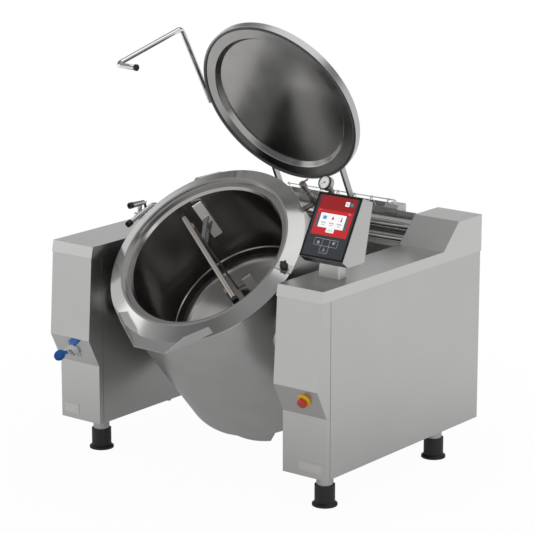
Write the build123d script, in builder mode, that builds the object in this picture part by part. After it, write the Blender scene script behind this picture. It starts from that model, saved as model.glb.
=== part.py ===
# Tilting steam jacketed kettle with a scraping mixer, between two floor columns.
# Millimetres, +Z up, the pouring spout towards -Y.  The origin lies on the floor under the
# middle of the machine as it stands tilted.
from build123d import *
from math import asin, cos, degrees, radians, sin, sqrt
import os

os.makedirs("parts", exist_ok=True)

# ---------------------------------------------------------------- driving dimensions
# columns
half_width = 697.5              # mid-plane to the outer side of a column
column_width = 219.0
column_depth = 1091.0
top_height = 900.0
foot_height = 133.0             # floor to the underside of the casings
sheet = 2.0
skirt_drop = 47.2               # height of the top cover's skirt
skirt_lean = 10.9               # the skirt's front edge leans this far forward
skirt_inset = 2.8               # the casings stand in from the skirt
nose_reach = 31.5               # the nose's edge in front of the top's front edge
nose_z = 505.6
return_z = 385.2
toe_recess = 28.8               # the lower front stands back
cheek_depth = 53.0              # the front panels wrap round the sides this far
hump_start = 814.8              # rear hump of the top cover
hump_slope_run = 107.3
hump_rise = 107.7
base_thickness = 3.0
post_width = 60.0               # welded frame inside a column
post_depth = 100.0
post_wall = 4.0
rail_size = 40.0

# feet
foot_shift = 36.0               # the feet stand to the right of each column's middle
front_foot_y = 115.0
rear_foot_y = 872.0
foot_flange_radius = 51.0
foot_sleeve_radius = 41.0
foot_sleeve_height = 86.0
foot_flange_height = 8.0
foot_flare_height = 16.0
foot_tube_radius = 34.0
foot_tube_bore = 29.0
foot_sole = 10.0

# rear of the machine
bridge_front_y = 975.0
bridge_bottom_z = 840.0
bridge_front_z = 998.0
bridge_rear_z = 966.0
rear_gap = 3.0                  # rear panels stand in from the covers' rear edge
beam_height = 60.0
beam_depth = 80.0

# kettle body, upright measures along its own axis from the mouth plane
tilt = 42.0                     # degrees forward of upright
pivot_y = 190.0                 # trunnion axis
pivot_z = 648.0
axis_behind_pivot = 147.0
mouth_above_pivot = 234.0
vessel_radius = 330.0
vessel_wall = 3.0
vessel_straight = 394.0
mouth_flare = 8.0
mouth_flare_depth = 12.0
rim_radius = 360.0              # outer edge of the vessel's flat rim
weld_step = 4.0                 # the dished bottom's upstand stands in from the wall
upstand_height = 33.0
vessel_crown = 600.0
vessel_knuckle = 40.0
jacket_radius = 372.0
jacket_wall = 4.0
jacket_top = 200.0
jacket_seam = 430.0
jacket_crown = 540.0
jacket_knuckle = 60.0
body_radius = 428.0
body_wall = 2.0
body_seam = 686.0
body_crown = 2400.0
body_knuckle = 12.0
collar_step = 18.0              # the collar rises this far above the vessel's rim
collar_step_lean = 2.0
collar_flat = 9.0
collar_radius = 431.0
collar_edge = 9.0               # outer edge of the flare below the mouth plane
collar_lip = 7.0
collar_sheet = 3.0

# pouring spout
lip_reach = 477.0
lip_half_width = 83.0
spout_root_x = 245.0
spout_root_reach = 345.0
spout_wall_height = 45.0
spout_rise_run = 105.0          # the side walls reach their full height this far along

# trunnions and tilt drive
trunnion_radius = 35.0
trunnion_pad_radius = 80.0
trunnion_pad_end = 442.0
bearing_radius = 62.0
bearing_length = 40.0
bearing_flange = 70.0
gearbox_length = 72.0
gearbox_radius = 78.0
tilt_motor_radius = 58.0
tilt_motor_length = 210.0

# drive of the mixer, under the body
drive_half_width = 112.0
drive_front_radius = 370.0
drive_rear = 110.0
drive_bottom = 815.0
mixer_gearbox_top = 640.0
mixer_gearbox_height = 60.0
mixer_gearbox_radius = 68.0
mixer_motor_radius = 55.0
mixer_motor_bottom = 800.0
lantern_radius = 60.0
lantern_wall = 8.0
casing_port_radius = 75.0
shaft_radius = 20.0
seal_radius = 30.0
seal_proud = 2.0

# mixer
mixer_turn = -35.3              # degrees, direction of the crossbar in the mouth plane
crossbar_radius = 12.0
crossbar_half = 295.0
crossbar_depth = 30.0           # below the mouth plane
cap_length = 16.0
cap_wall = 2.5
side_bar_reach = 214.0
side_bar_width = 30.0
side_bar_thickness = 8.0
side_bar_bottom = 490.0
weld = 2.0                      # bars sink into the round tube they are welded to
hub_radius = 34.0
hub_height = 40.0
hub_clearance = 4.0
blade_width = 42.0
blade_thickness = 6.0
upper_blade_reach = 309.5
upper_blade_side = 53.0
upper_blade_top = 30.0
upper_blade_length = 210.0
lower_blade_reach = 193.5
lower_blade_side = 50.0
lower_blade_top = 420.0
lower_blade_length = 80.0
tab_thickness = 6.0
tab_depth = 118.0               # upper pair of bracket tabs below the mouth plane
tab_pitch = 32.0

# lid
lid_open = 64.0                 # degrees, as the machine stands
hinge_y = 922.0
hinge_z = 955.0
lid_hinge_reach = 585.0
lid_hinge_rise = 49.0
lid_radius = 375.0
lid_panel_radius = 302.0
lid_panel_rise = 20.0
lid_ring_radius = 318.0
lid_top_rise = 36.0
lid_top_radius = 345.0
lid_edge_rise = 30.0
groove_inner = 361.0
groove_width = 8.0
groove_depth = 8.0
gasket_proud = 5.0
hinge_shaft_radius = 25.0
hinge_shaft_bore = 21.0
hinge_bearing_radius = 33.0
hinge_bearing_length = 60.0
arm_x = 185.0
arm_thickness = 12.0
arm_height = 26.0
arm_front = 200.0
arm_eye_radius = 33.0
cross_rail_radius = 22.0
cross_rail_y = 930.0
cross_rail_z = 895.0

# lid handle
handle_radius = 8.0
handle_bend = 28.0
handle_x = 385.0
handle_root = 46.0
handle_crown = 335.0
handle_drop = 395.0
handle_lead = 113.6
handle_grip = 80.0
handle_cap_radius = 14.5
handle_cap_length = 9.0
lug_reach = 6.0
lug_spread = 36.0
lug_width = 14.0
lug_thickness = 10.0

# controls
panel_width = 209.0
panel_x = 579.5
panel_profile = ((138.0, 985.0), (269.0, 1216.0), (336.0, 1188.0), (282.0, 957.0), (175.5, 957.0))
glass_thickness = 3.0
neck_width = 105.0
neck_front = 188.0
neck_depth = 52.0
screen_width = 156.0
screen_height = 132.0
screen_thickness = 8.0
stop_x = 614.0
stop_fall = 55.4                # down the return face from the nose's edge
stop_ring_radius = 29.0
stop_ring_height = 9.0
stop_head_radius = 20.0
stop_head_height = 12.0
stop_stem_radius = 10.0
stop_travel = 5.0
stop_barrel_radius = 13.0
stop_block = 40.0
socket_x = -595.0
socket_fall = 74.6
socket_flange = 58.0
socket_radius = 25.0
socket_bore = 20.0
socket_height = 16.0
socket_cap_open = 118.0

# water fittings on the left column
tap_x = -500.0
tap_y = 455.0
tap_radius = 9.5
tap_bend = 50.0
tap_corner_z = 1025.0
tap_outlet_y = 249.0
tap_outlet_z = 950.0
tap_base_radius = 21.0
tap_base_height = 34.0
tap_tip_radius = 13.0
tap_tip_length = 22.0
gun_x = -545.0
gun_y = 369.0
gun_stem_radius = 6.0
gun_handle_radius = 10.0        # at the holder
gun_grip_radius = 11.0          # at the barrel
gun_top_z = 1010.0
gun_barrel_radius = 13.5        # at the nozzle
gun_rear_radius = 10.0
gun_barrel_length = 75.0
gun_overhang = 25.0             # barrel behind the handle
trigger_reach = 7.0
trigger_eye = 5.0
trigger_pin = 2.5
trigger_half_width = 5.0
trigger_gap = 0.3
trigger_ear = 3.0
trigger_thickness = 5.0
trigger_length = 54.0
trigger_lean = 16.0
holder_post_radius = 10.0
holder_radius = 24.5
holder_low_z = 948.0
holder_seat_z = 960.0
holder_top_z = 972.0
holder_round = 8.0
stub_radius = 10.48             # G 1/2 male thread
stub_bore = 7.3
stub_length = 28.0
relief_radius = 9.3             # thread's run-out under the hexagon
relief_length = 3.0
inlet_body_radius = 12.5
inlet_flange_radius = 16.0      # over the hexagon's corners
inlet_flange = 6.0
stub_y = 560.0
stub_pitch = 60.0

# safety group on the kettle
safety_turn = 40.0              # degrees from the back towards the right
pipe_radius = 11.0
pipe_depth = 70.0
pipe_reach = 560.0
valve_reach = 478.0
valve_lean = 16.0
valve_length = 146.0
valve_radius = 13.0
gauge_radius = 32.5
gauge_reach = 570.0
gauge_depth = 11.0
gauge_thickness = 22.0

# clearances
running_fit = 0.05              # radial, of a shaft in its bore
pass_gap = 2.0                  # radial, of a shaft in a hole of sheet metal

# ---------------------------------------------------------------- derived places
inner_x = half_width - column_width
column_x = half_width - column_width / 2
casing_half = column_width / 2 - skirt_inset
skirt_z = top_height - skirt_drop
rear_y = column_depth - rear_gap
kettle_back = Vector(0, cos(radians(tilt)), sin(radians(tilt)))
kettle_up = Vector(0, -sin(radians(tilt)), cos(radians(tilt)))

# the lip of the tilted spout and the covers' rear edge are the machine's front and back
lip_y = (
    pivot_y
    + kettle_back.Y * (axis_behind_pivot - lip_reach)
    + kettle_up.Y * (mouth_above_pivot - collar_edge + collar_sheet)
)
front_y = -(column_depth + lip_y) / 2
pivot = Vector(0, front_y + pivot_y, pivot_z)
mouth = pivot + kettle_back * axis_behind_pivot + kettle_up * mouth_above_pivot
kettle_axis = Axis(mouth, kettle_up)
hinge = Vector(0, front_y + hinge_y, hinge_z)
lid_back = Vector(0, cos(radians(lid_open)), -sin(radians(lid_open)))
lid_up = Vector(0, sin(radians(lid_open)), cos(radians(lid_open)))
lid_centre = hinge - lid_back * lid_hinge_reach - lid_up * lid_hinge_rise


def side_plane(x):
    # across the machine: local x is the depth behind the columns' front, local y the height
    return Plane((x, front_y, 0), x_dir=(0, 1, 0), z_dir=(1, 0, 0))


def level_plane(z):
    return Plane((0, front_y, z))


def front_plane(y):
    # facing forward: local x is across, local y the height
    return Plane((0, front_y + y, 0), x_dir=(1, 0, 0), z_dir=(0, -1, 0))


def kettle_plane(depth):
    # square to the kettle's axis, this far below the mouth: local y points to its back
    return Plane(mouth - kettle_up * depth, x_dir=(1, 0, 0), z_dir=kettle_up)


def kettle_section(turn=90.0):
    # through the kettle's axis: local x is the radius, local y the height over the mouth;
    # turn runs in degrees from the back towards the right
    radial = Vector(sin(radians(turn)), 0, 0) + kettle_back * cos(radians(turn))
    return Plane(mouth, x_dir=radial, z_dir=radial.cross(kettle_up))


def mixer_plane(depth):
    along = Vector(cos(radians(mixer_turn)), 0, 0) + kettle_back * sin(radians(mixer_turn))
    return Plane(mouth - kettle_up * depth, x_dir=along, z_dir=kettle_up)


def mixer_section(side=0.0):
    # upright plane through the crossbar, moved sideways
    flat = mixer_plane(0)
    return Plane(mouth + flat.y_dir * side, x_dir=flat.x_dir, z_dir=-flat.y_dir)


def lid_plane(rise):
    return Plane(lid_centre + lid_up * rise, x_dir=(1, 0, 0), z_dir=lid_up)


def lid_side_plane(x):
    # local x runs towards the hinge, local y out of the lid's top
    return Plane(lid_centre + Vector(x, 0, 0), x_dir=lid_back, z_dir=(1, 0, 0))


lid_section = Plane(lid_centre, x_dir=(1, 0, 0), z_dir=-lid_back)
lid_axis = Axis(lid_centre, lid_up)

return_drop = nose_z - return_z
return_run = nose_reach + toe_recess
return_length = sqrt(return_drop**2 + return_run**2)


def return_plane(x, fall):
    # on the return face under a nose: local y runs up the face
    y = front_y - nose_reach + return_run * fall / return_length
    z = nose_z - return_drop * fall / return_length
    return Plane((x, y, z), x_dir=(1, 0, 0), z_dir=(0, -return_drop, -return_run))


def dish(radius, seam, crown, knuckle):
    # centre height and contact angle of a torispherical bottom below its seam
    reach = crown - knuckle
    centre = -seam + sqrt(reach**2 - (radius - knuckle) ** 2)
    return centre, degrees(asin((radius - knuckle) / reach))


# ---------------------------------------------------------------- columns
hump_top_y = hump_start + hump_slope_run
for side, name in ((-1, "left"), (1, "right")):
    middle = side_plane(side * column_x)
    inner_plane = side_plane(side * inner_x)

    # folded top cover with its skirt and the rear hump that hides the lid's bearing
    with BuildPart() as top_cover:
        with BuildSketch(middle):
            with BuildLine():
                Polyline(
                    (-skirt_lean, skirt_z),
                    (0, top_height),
                    (hump_start, top_height),
                    (hump_top_y, top_height + hump_rise),
                    (column_depth, top_height + hump_rise),
                    (column_depth, skirt_z),
                    close=True,
                )
            make_face()
        extrude(amount=column_width / 2, both=True)
        underside = top_cover.faces().sort_by(Axis.Z)[0]
        offset(amount=-sheet, openings=underside)
        with BuildSketch(inner_plane):
            with Locations((hinge_y, hinge_z)):
                Circle(hinge_shaft_radius + pass_gap)
        extrude(amount=side * (sheet + 1), mode=Mode.SUBTRACT)
    top_cover.part.label = f"{name}_top_cover"
    export_step(top_cover.part, f"parts/{name}_top_cover.step")

    # nose panel: leaning front, return face and cheeks, tucked up behind the skirt
    tuck = sheet + skirt_inset / 4
    with BuildPart() as nose_panel:
        with BuildSketch(middle):
            with BuildLine():
                Polyline(
                    (tuck, top_height - sheet),
                    (tuck - skirt_lean, skirt_z),
                    (-nose_reach, nose_z),
                    (toe_recess, return_z),
                    (cheek_depth, return_z),
                    (cheek_depth, top_height - sheet),
                    close=True,
                )
            make_face()
        extrude(amount=casing_half, both=True)
        rear = nose_panel.faces().sort_by(Axis.Y)[-1]
        top = nose_panel.faces().sort_by(Axis.Z)[-1]
        bottom = nose_panel.faces().sort_by(Axis.Z)[0]
        offset(amount=-sheet, openings=[rear, top, bottom])
        with BuildSketch(
            return_plane(stop_x, stop_fall) if side > 0 else return_plane(socket_x, socket_fall)
        ):
            Circle(stop_barrel_radius if side > 0 else socket_bore + sheet)
        extrude(amount=2 * sheet, both=True, mode=Mode.SUBTRACT)
    nose_panel.part.label = f"{name}_nose_panel"
    export_step(nose_panel.part, f"parts/{name}_nose_panel.step")

    # casing: outer side, rear and inner side in one U-shaped sheet
    with BuildPart() as casing:
        with BuildSketch(middle):
            with BuildLine():
                Polyline(
                    (cheek_depth, foot_height),
                    (cheek_depth, top_height - sheet),
                    (rear_y, top_height - sheet),
                    (rear_y, foot_height),
                    close=True,
                )
            make_face()
        extrude(amount=casing_half, both=True)
        front = casing.faces().sort_by(Axis.Y)[0]
        top = casing.faces().sort_by(Axis.Z)[-1]
        bottom = casing.faces().sort_by(Axis.Z)[0]
        offset(amount=-sheet, openings=[front, top, bottom])
        with BuildSketch(inner_plane):
            with Locations((pivot_y, pivot_z)):
                Circle(trunnion_radius + pass_gap)
        extrude(amount=side * (skirt_inset + sheet + 1), mode=Mode.SUBTRACT)
    casing.part.label = f"{name}_casing"
    export_step(casing.part, f"parts/{name}_casing.step")


# lower front panels, U-shaped in plan
with BuildPart() as lower_panels:
    for side in (-1, 1):
        with BuildSketch(level_plane(foot_height)):
            with Locations((side * column_x, (toe_recess + cheek_depth) / 2)):
                Rectangle(2 * casing_half, cheek_depth - toe_recess)
            with Locations((side * column_x, (toe_recess + cheek_depth + sheet) / 2)):
                Rectangle(
                    2 * (casing_half - sheet), cheek_depth - toe_recess - sheet, mode=Mode.SUBTRACT
                )
        extrude(amount=return_z - foot_height)
lower_panels.part.label = "lower_panels"
export_step(lower_panels.part, "parts/lower_panels.step")

# base plates between the casings' walls, the left one holed for the water inlets
room = casing_half - sheet
with BuildPart() as base_plates:
    for side in (-1, 1):
        with BuildSketch(level_plane(foot_height)):
            with Locations((side * column_x, (toe_recess + rear_y) / 2)):
                Rectangle(2 * room, rear_y - toe_recess - 2 * sheet)
        extrude(amount=base_thickness)
    with BuildSketch(level_plane(foot_height)):
        with Locations((-column_x, stub_y)):
            with GridLocations(stub_pitch, 1, 2, 1):
                Circle(inlet_body_radius)
    extrude(amount=base_thickness, mode=Mode.SUBTRACT)
base_plates.part.label = "base_plates"
export_step(base_plates.part, "parts/base_plates.step")

# welded frames: trunnion post, hinge post and the rails between them
post_x = column_x - room + post_width / 2
post_bottom = foot_height + base_thickness
post_top = top_height - sheet
with BuildPart() as column_frames:
    for side in (-1, 1):
        with BuildSketch(level_plane(post_bottom)):
            with Locations((side * post_x, pivot_y), (side * post_x, hinge_y)):
                Rectangle(post_width, post_depth)
                Rectangle(post_width - 2 * post_wall, post_depth - 2 * post_wall, mode=Mode.SUBTRACT)
        extrude(amount=post_top - post_bottom)
        with BuildSketch(front_plane(hinge_y - post_depth / 2)):
            with Locations(
                (side * post_x, post_top - rail_size / 2),
                (side * post_x, post_bottom + rail_size / 2),
            ):
                Rectangle(rail_size, rail_size)
        extrude(amount=hinge_y - pivot_y - post_depth)
        with BuildSketch(side_plane(side * (post_x + post_width / 2))):
            with Locations(
                (pivot_y, post_bottom + rail_size / 2),
                (hinge_y, post_bottom + rail_size / 2),
            ):
                Rectangle(rail_size, rail_size)
        extrude(amount=side * (2 * room - post_width))
    with BuildSketch(side_plane(0)):
        with Locations((pivot_y, pivot_z)):
            Circle(trunnion_radius + pass_gap)
    extrude(amount=half_width, both=True, mode=Mode.SUBTRACT)
column_frames.part.label = "column_frames"
export_step(column_frames.part, "parts/column_frames.step")

# ---------------------------------------------------------------- feet
foot_places = [
    (side * column_x + foot_shift, y) for side in (-1, 1) for y in (front_foot_y, rear_foot_y)
]
with BuildPart() as feet_tubes:
    with BuildSketch(level_plane(foot_sole)):
        with Locations(*foot_places):
            Circle(foot_tube_radius)
            Circle(foot_tube_bore, mode=Mode.SUBTRACT)
    extrude(amount=foot_height - foot_sole)
feet_tubes.part.label = "feet_tubes"
export_step(feet_tubes.part, "parts/feet_tubes.step")

with BuildPart() as foot_sleeve:
    with BuildSketch(Plane.XZ):
        with BuildLine():
            Polyline(
                (0, 0),
                (foot_flange_radius, 0),
                (foot_flange_radius, foot_flange_height),
                (foot_sleeve_radius, foot_flare_height),
                (foot_sleeve_radius, foot_sleeve_height),
                (foot_tube_radius, foot_sleeve_height),
                (foot_tube_radius, foot_sole),
                (0, foot_sole),
                close=True,
            )
        make_face()
    revolve(axis=Axis.Z)
with BuildPart() as feet_sleeves:
    with Locations(*[(x, front_y + y, 0) for x, y in foot_places]):
        add(foot_sleeve.part)
feet_sleeves.part.label = "feet_sleeves"
export_step(feet_sleeves.part, "parts/feet_sleeves.step")

# ---------------------------------------------------------------- rear bridge and panel
with BuildPart() as rear_bridge:
    with BuildSketch(side_plane(0)):
        with BuildLine():
            Polyline(
                (bridge_front_y, bridge_bottom_z),
                (bridge_front_y, bridge_front_z),
                (column_depth, bridge_rear_z),
                (column_depth, bridge_bottom_z),
                close=True,
            )
        make_face()
    extrude(amount=inner_x, both=True)
    offset(amount=-sheet, openings=rear_bridge.faces().sort_by(Axis.Z)[0])
rear_bridge.part.label = "rear_bridge"
export_step(rear_bridge.part, "parts/rear_bridge.step")

panel_half = inner_x + skirt_inset
with BuildPart() as rear_panel:
    with BuildSketch(front_plane(rear_y)):
        with Locations((0, (foot_height + bridge_bottom_z) / 2)):
            Rectangle(2 * panel_half, bridge_bottom_z - foot_height)
    extrude(amount=sheet)
rear_panel.part.label = "rear_panel"
export_step(rear_panel.part, "parts/rear_panel.step")

with BuildPart() as rear_beam:
    with BuildSketch(side_plane(0)):
        with Locations((rear_y - sheet - beam_depth / 2, foot_height + beam_height / 2)):
            Rectangle(beam_depth, beam_height)
            Rectangle(beam_depth - 2 * post_wall, beam_height - 2 * post_wall, mode=Mode.SUBTRACT)
    extrude(amount=panel_half, both=True)
rear_beam.part.label = "rear_beam"
export_step(rear_beam.part, "parts/rear_beam.step")

with BuildPart() as cross_rail:
    with BuildSketch(side_plane(0)):
        with Locations((cross_rail_y, cross_rail_z)):
            Circle(cross_rail_radius)
            Circle(cross_rail_radius - sheet, mode=Mode.SUBTRACT)
    extrude(amount=inner_x, both=True)
cross_rail.part.label = "cross_rail"
export_step(cross_rail.part, "parts/cross_rail.step")

# ---------------------------------------------------------------- bearings and tilt drive
bearing_x = column_x - room + post_width
with BuildPart() as trunnion_bearings:
    for side in (-1, 1):
        with BuildSketch(side_plane(side * bearing_x)):
            with Locations((pivot_y, pivot_z)):
                RectangleRounded(2 * bearing_flange, 2 * bearing_flange, bearing_flange / 4)
        extrude(amount=side * bearing_length / 3)
        with BuildSketch(side_plane(side * bearing_x)):
            with Locations((pivot_y, pivot_z)):
                Circle(bearing_radius)
        extrude(amount=side * bearing_length)
        with BuildSketch(side_plane(side * bearing_x)):
            with Locations((pivot_y, pivot_z)):
                Circle(trunnion_radius + running_fit)
        extrude(amount=side * bearing_length, mode=Mode.SUBTRACT)
trunnion_bearings.part.label = "trunnion_bearings"
export_step(trunnion_bearings.part, "parts/trunnion_bearings.step")

gearbox_x = bearing_x + bearing_length
worm_z = pivot_z + gearbox_radius
motor_x = column_x + room - tilt_motor_radius
with BuildPart() as tilt_gearbox:
    with BuildSketch(side_plane(gearbox_x)):
        with Locations((pivot_y, pivot_z)):
            Circle(gearbox_radius)
        with Locations((pivot_y, worm_z)):
            RectangleRounded(2 * gearbox_radius, gearbox_radius, gearbox_radius / 4)
    extrude(amount=gearbox_length)
    with BuildSketch(side_plane(gearbox_x)):
        with Locations((pivot_y, pivot_z)):
            Circle(trunnion_radius + running_fit)
    extrude(amount=gearbox_length, mode=Mode.SUBTRACT)
    with BuildSketch(front_plane(pivot_y + gearbox_radius)):
        with Locations((motor_x, worm_z)):
            Circle(tilt_motor_radius)
    extrude(amount=-tilt_motor_length)
    fillet(tilt_gearbox.faces().sort_by(Axis.Y)[-1].edges(), tilt_motor_radius / 5)
tilt_gearbox.part.label = "tilt_gearbox"
export_step(tilt_gearbox.part, "parts/tilt_gearbox.step")

bearing_top = top_height - sheet
with BuildPart() as hinge_bearings:
    for side in (-1, 1):
        with BuildSketch(side_plane(side * (inner_x + sheet))):
            with Locations((hinge_y, hinge_z)):
                Circle(hinge_bearing_radius)
            with Locations((hinge_y, (bearing_top + hinge_z) / 2)):
                Rectangle(2 * hinge_bearing_radius * 0.8, hinge_z - bearing_top)
        extrude(amount=side * hinge_bearing_length)
        with BuildSketch(side_plane(side * (inner_x + sheet))):
            with Locations((hinge_y, hinge_z)):
                Circle(hinge_shaft_radius + running_fit)
        extrude(amount=side * hinge_bearing_length, mode=Mode.SUBTRACT)
hinge_bearings.part.label = "hinge_bearings"
export_step(hinge_bearings.part, "parts/hinge_bearings.step")

# ---------------------------------------------------------------- kettle body
vessel_seam = vessel_straight + upstand_height
upstand_radius = vessel_radius - weld_step
vessel_centre, vessel_angle = dish(upstand_radius, vessel_seam, vessel_crown, vessel_knuckle)
vessel_bottom = vessel_centre - vessel_crown


def dish_lines(radius, seam, crown, knuckle):
    # crown and knuckle of a dished bottom, from the axis out to its seam
    centre, angle = dish(radius, seam, crown, knuckle)
    crown_arc = CenterArc((0, centre), crown, -90, angle, mode=Mode.PRIVATE)
    knuckle_centre = (radius - knuckle, -seam)
    knuckle_arc = CenterArc(knuckle_centre, knuckle, angle - 90, 90 - angle, mode=Mode.PRIVATE)
    return crown_arc, knuckle_arc


# inner vessel, its flat rim and the upstand of the dished bottom
outer_vessel = vessel_radius + vessel_wall
outer_upstand = upstand_radius + vessel_wall
with BuildPart() as vessel:
    with BuildSketch(kettle_section()):
        with BuildLine():
            add(dish_lines(upstand_radius, vessel_seam, vessel_crown, vessel_knuckle))
            Polyline(
                (upstand_radius, -vessel_seam),
                (upstand_radius, -vessel_straight - weld_step / 2),
                (vessel_radius, -vessel_straight + weld_step / 2),
                (vessel_radius, -mouth_flare_depth),
                (vessel_radius + mouth_flare, 0),
                (rim_radius, 0),
                (rim_radius, -vessel_wall),
                (outer_vessel + mouth_flare, -vessel_wall),
                (outer_vessel, -mouth_flare_depth - vessel_wall),
                (outer_vessel, -vessel_straight),
                (outer_upstand, -vessel_straight - weld_step),
                (outer_upstand, -vessel_seam),
            )
            add(
                dish_lines(
                    outer_upstand,
                    vessel_seam,
                    vessel_crown + vessel_wall,
                    vessel_knuckle + vessel_wall,
                )
            )
            Line((0, vessel_bottom), (0, vessel_bottom - vessel_wall))
        make_face()
    revolve(axis=kettle_axis)
    with BuildSketch(kettle_plane(-vessel_bottom)):
        Circle(seal_radius)
    extrude(amount=2 * vessel_wall, both=True, mode=Mode.SUBTRACT)
vessel.part.label = "vessel"
export_step(vessel.part, "parts/vessel.step")

# steam jacket, welded round the vessel, with the sleeve that lets the mixer's shaft through
jacket_centre, jacket_angle = dish(jacket_radius, jacket_seam, jacket_crown, jacket_knuckle)
jacket_bottom = jacket_centre - jacket_crown
with BuildPart() as steam_jacket:
    with BuildSketch(kettle_section()):
        with BuildLine():
            add(dish_lines(jacket_radius, jacket_seam, jacket_crown, jacket_knuckle))
            Polyline(
                (jacket_radius, -jacket_seam),
                (jacket_radius, -jacket_top),
                (outer_vessel, -jacket_top),
                (outer_vessel, -jacket_top - jacket_wall),
                (jacket_radius - jacket_wall, -jacket_top - jacket_wall),
                (jacket_radius - jacket_wall, -jacket_seam),
            )
            add(
                dish_lines(
                    jacket_radius - jacket_wall,
                    jacket_seam,
                    jacket_crown - jacket_wall,
                    jacket_knuckle - jacket_wall,
                )
            )
            Line((0, jacket_bottom), (0, jacket_bottom + jacket_wall))
        make_face()
    revolve(axis=kettle_axis)
    with BuildSketch(kettle_plane(-jacket_bottom - jacket_wall / 2)):
        Circle(seal_radius + jacket_wall)
    extrude(amount=vessel_bottom - vessel_wall / 2 - jacket_bottom - jacket_wall / 2)
    with BuildSketch(kettle_plane(-jacket_bottom)):
        Circle(seal_radius)
    extrude(amount=vessel_bottom - jacket_bottom, mode=Mode.SUBTRACT)
    add(vessel.part, mode=Mode.SUBTRACT)
steam_jacket.part.label = "steam_jacket"
export_step(steam_jacket.part, "parts/steam_jacket.step")

# seal and bush of the mixer's shaft, through jacket and vessel
with BuildPart() as shaft_seal:
    with BuildSketch(kettle_plane(-jacket_bottom)):
        Circle(seal_radius)
        Circle(shaft_radius + running_fit, mode=Mode.SUBTRACT)
    extrude(amount=vessel_bottom - jacket_bottom + seal_proud)
shaft_seal.part.label = "shaft_seal"
export_step(shaft_seal.part, "parts/shaft_seal.step")

# outline of the outer casing as one closed body, used to seat what is welded to it
body_centre, body_angle = dish(body_radius, body_seam, body_crown, body_knuckle)
body_bottom = body_centre - body_crown
body_top = collar_edge + collar_sheet
with BuildPart() as body_core:
    with BuildSketch(kettle_section()):
        with BuildLine():
            add(dish_lines(body_radius, body_seam, body_crown, body_knuckle))
            Polyline((body_radius, -body_seam), (body_radius, -body_top), (0, -body_top), (0, body_bottom))
        make_face()
    revolve(axis=kettle_axis)

with BuildPart() as outer_casing:
    add(body_core.part)
    lid_face = outer_casing.faces().filter_by(Plane(mouth, z_dir=kettle_up)).sort_by(kettle_axis)[-1]
    offset(amount=-body_wall, openings=lid_face)
    with BuildSketch(kettle_plane(-body_bottom)):
        Circle(casing_port_radius)
    extrude(amount=2 * body_wall, both=True, mode=Mode.SUBTRACT)
outer_casing.part.label = "outer_casing"
export_step(outer_casing.part, "parts/outer_casing.step")

# flared collar
flat_outer = rim_radius + collar_step_lean + collar_flat
flare_drop = collar_step + collar_edge
flare_run = collar_radius - flat_outer
with BuildPart() as rim_collar:
    with BuildSketch(kettle_section()):
        with BuildLine():
            Polyline(
                (rim_radius, 0),
                (rim_radius + collar_step_lean, collar_step),
                (flat_outer, collar_step),
                (collar_radius, -collar_edge),
                (collar_radius, -collar_edge - collar_lip),
                (body_radius, -collar_edge - collar_lip),
                (body_radius, -collar_edge - collar_sheet / 2),
                (flat_outer - collar_sheet / 3, collar_step - collar_sheet),
                (rim_radius + collar_step_lean + collar_sheet, collar_step - collar_sheet),
                (rim_radius + collar_sheet, -collar_sheet),
                (rim_radius, -collar_sheet),
                close=True,
            )
        make_face()
    revolve(axis=kettle_axis)
rim_collar.part.label = "rim_collar"
export_step(rim_collar.part, "parts/rim_collar.step")

# pouring spout: flat floor with two side walls that rise from the lip
wall_run = spout_root_x - lip_half_width
wall_fall = lip_reach - spout_root_reach
wall_length = sqrt(wall_run**2 + wall_fall**2)
floor_top = collar_edge
with BuildPart() as pouring_spout:
    with BuildSketch(kettle_plane(floor_top + collar_sheet)):
        with BuildLine():
            Polyline(
                (-spout_root_x, -spout_root_reach),
                (-lip_half_width, -lip_reach),
                (lip_half_width, -lip_reach),
                (spout_root_x, -spout_root_reach),
                close=True,
            )
        make_face()
        Circle(collar_radius, mode=Mode.SUBTRACT)
    extrude(amount=collar_sheet)
    for side in (-1, 1):
        along = (Vector(side * wall_run, 0, 0) + kettle_back * wall_fall).normalized()
        corner = kettle_plane(0).from_local_coords(Vector(side * lip_half_width, -lip_reach, 0))
        with BuildSketch(Plane(corner, x_dir=along, z_dir=along.cross(kettle_up))):
            with BuildLine():
                Polyline(
                    (0, -floor_top - collar_sheet),
                    (0, -floor_top + collar_sheet),
                    (spout_rise_run, spout_wall_height - floor_top),
                    (wall_length, spout_wall_height - floor_top),
                    (wall_length, -floor_top + collar_sheet / 2),
                    (spout_rise_run, -floor_top - collar_sheet),
                    close=True,
                )
            make_face()
        extrude(amount=-side * collar_sheet)
    add(rim_collar.part, mode=Mode.SUBTRACT)
    with BuildSketch(kettle_plane(2 * body_top)):
        Circle(body_radius)
    extrude(amount=2 * body_top - collar_edge + 2 * collar_sheet / 3, mode=Mode.SUBTRACT)
pouring_spout.part.label = "pouring_spout"
export_step(pouring_spout.part, "parts/pouring_spout.step")

# trunnions: pads that fit the round body, and the shafts into the columns
with BuildPart() as trunnion_shafts:
    for side in (-1, 1):
        with BuildSketch(side_plane(side * trunnion_pad_end)):
            with Locations((pivot_y, pivot_z)):
                Circle(trunnion_pad_radius)
        extrude(amount=-side * trunnion_pad_radius)
    add(body_core.part, mode=Mode.SUBTRACT)
    for side in (-1, 1):
        shaft_end = bearing_x + bearing_length + (gearbox_length if side > 0 else 0)
        with BuildSketch(side_plane(side * trunnion_pad_end)):
            with Locations((pivot_y, pivot_z)):
                Circle(trunnion_radius)
        extrude(amount=side * (shaft_end - trunnion_pad_end))
trunnion_shafts.part.label = "trunnion_shafts"
export_step(trunnion_shafts.part, "parts/trunnion_shafts.step")

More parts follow.
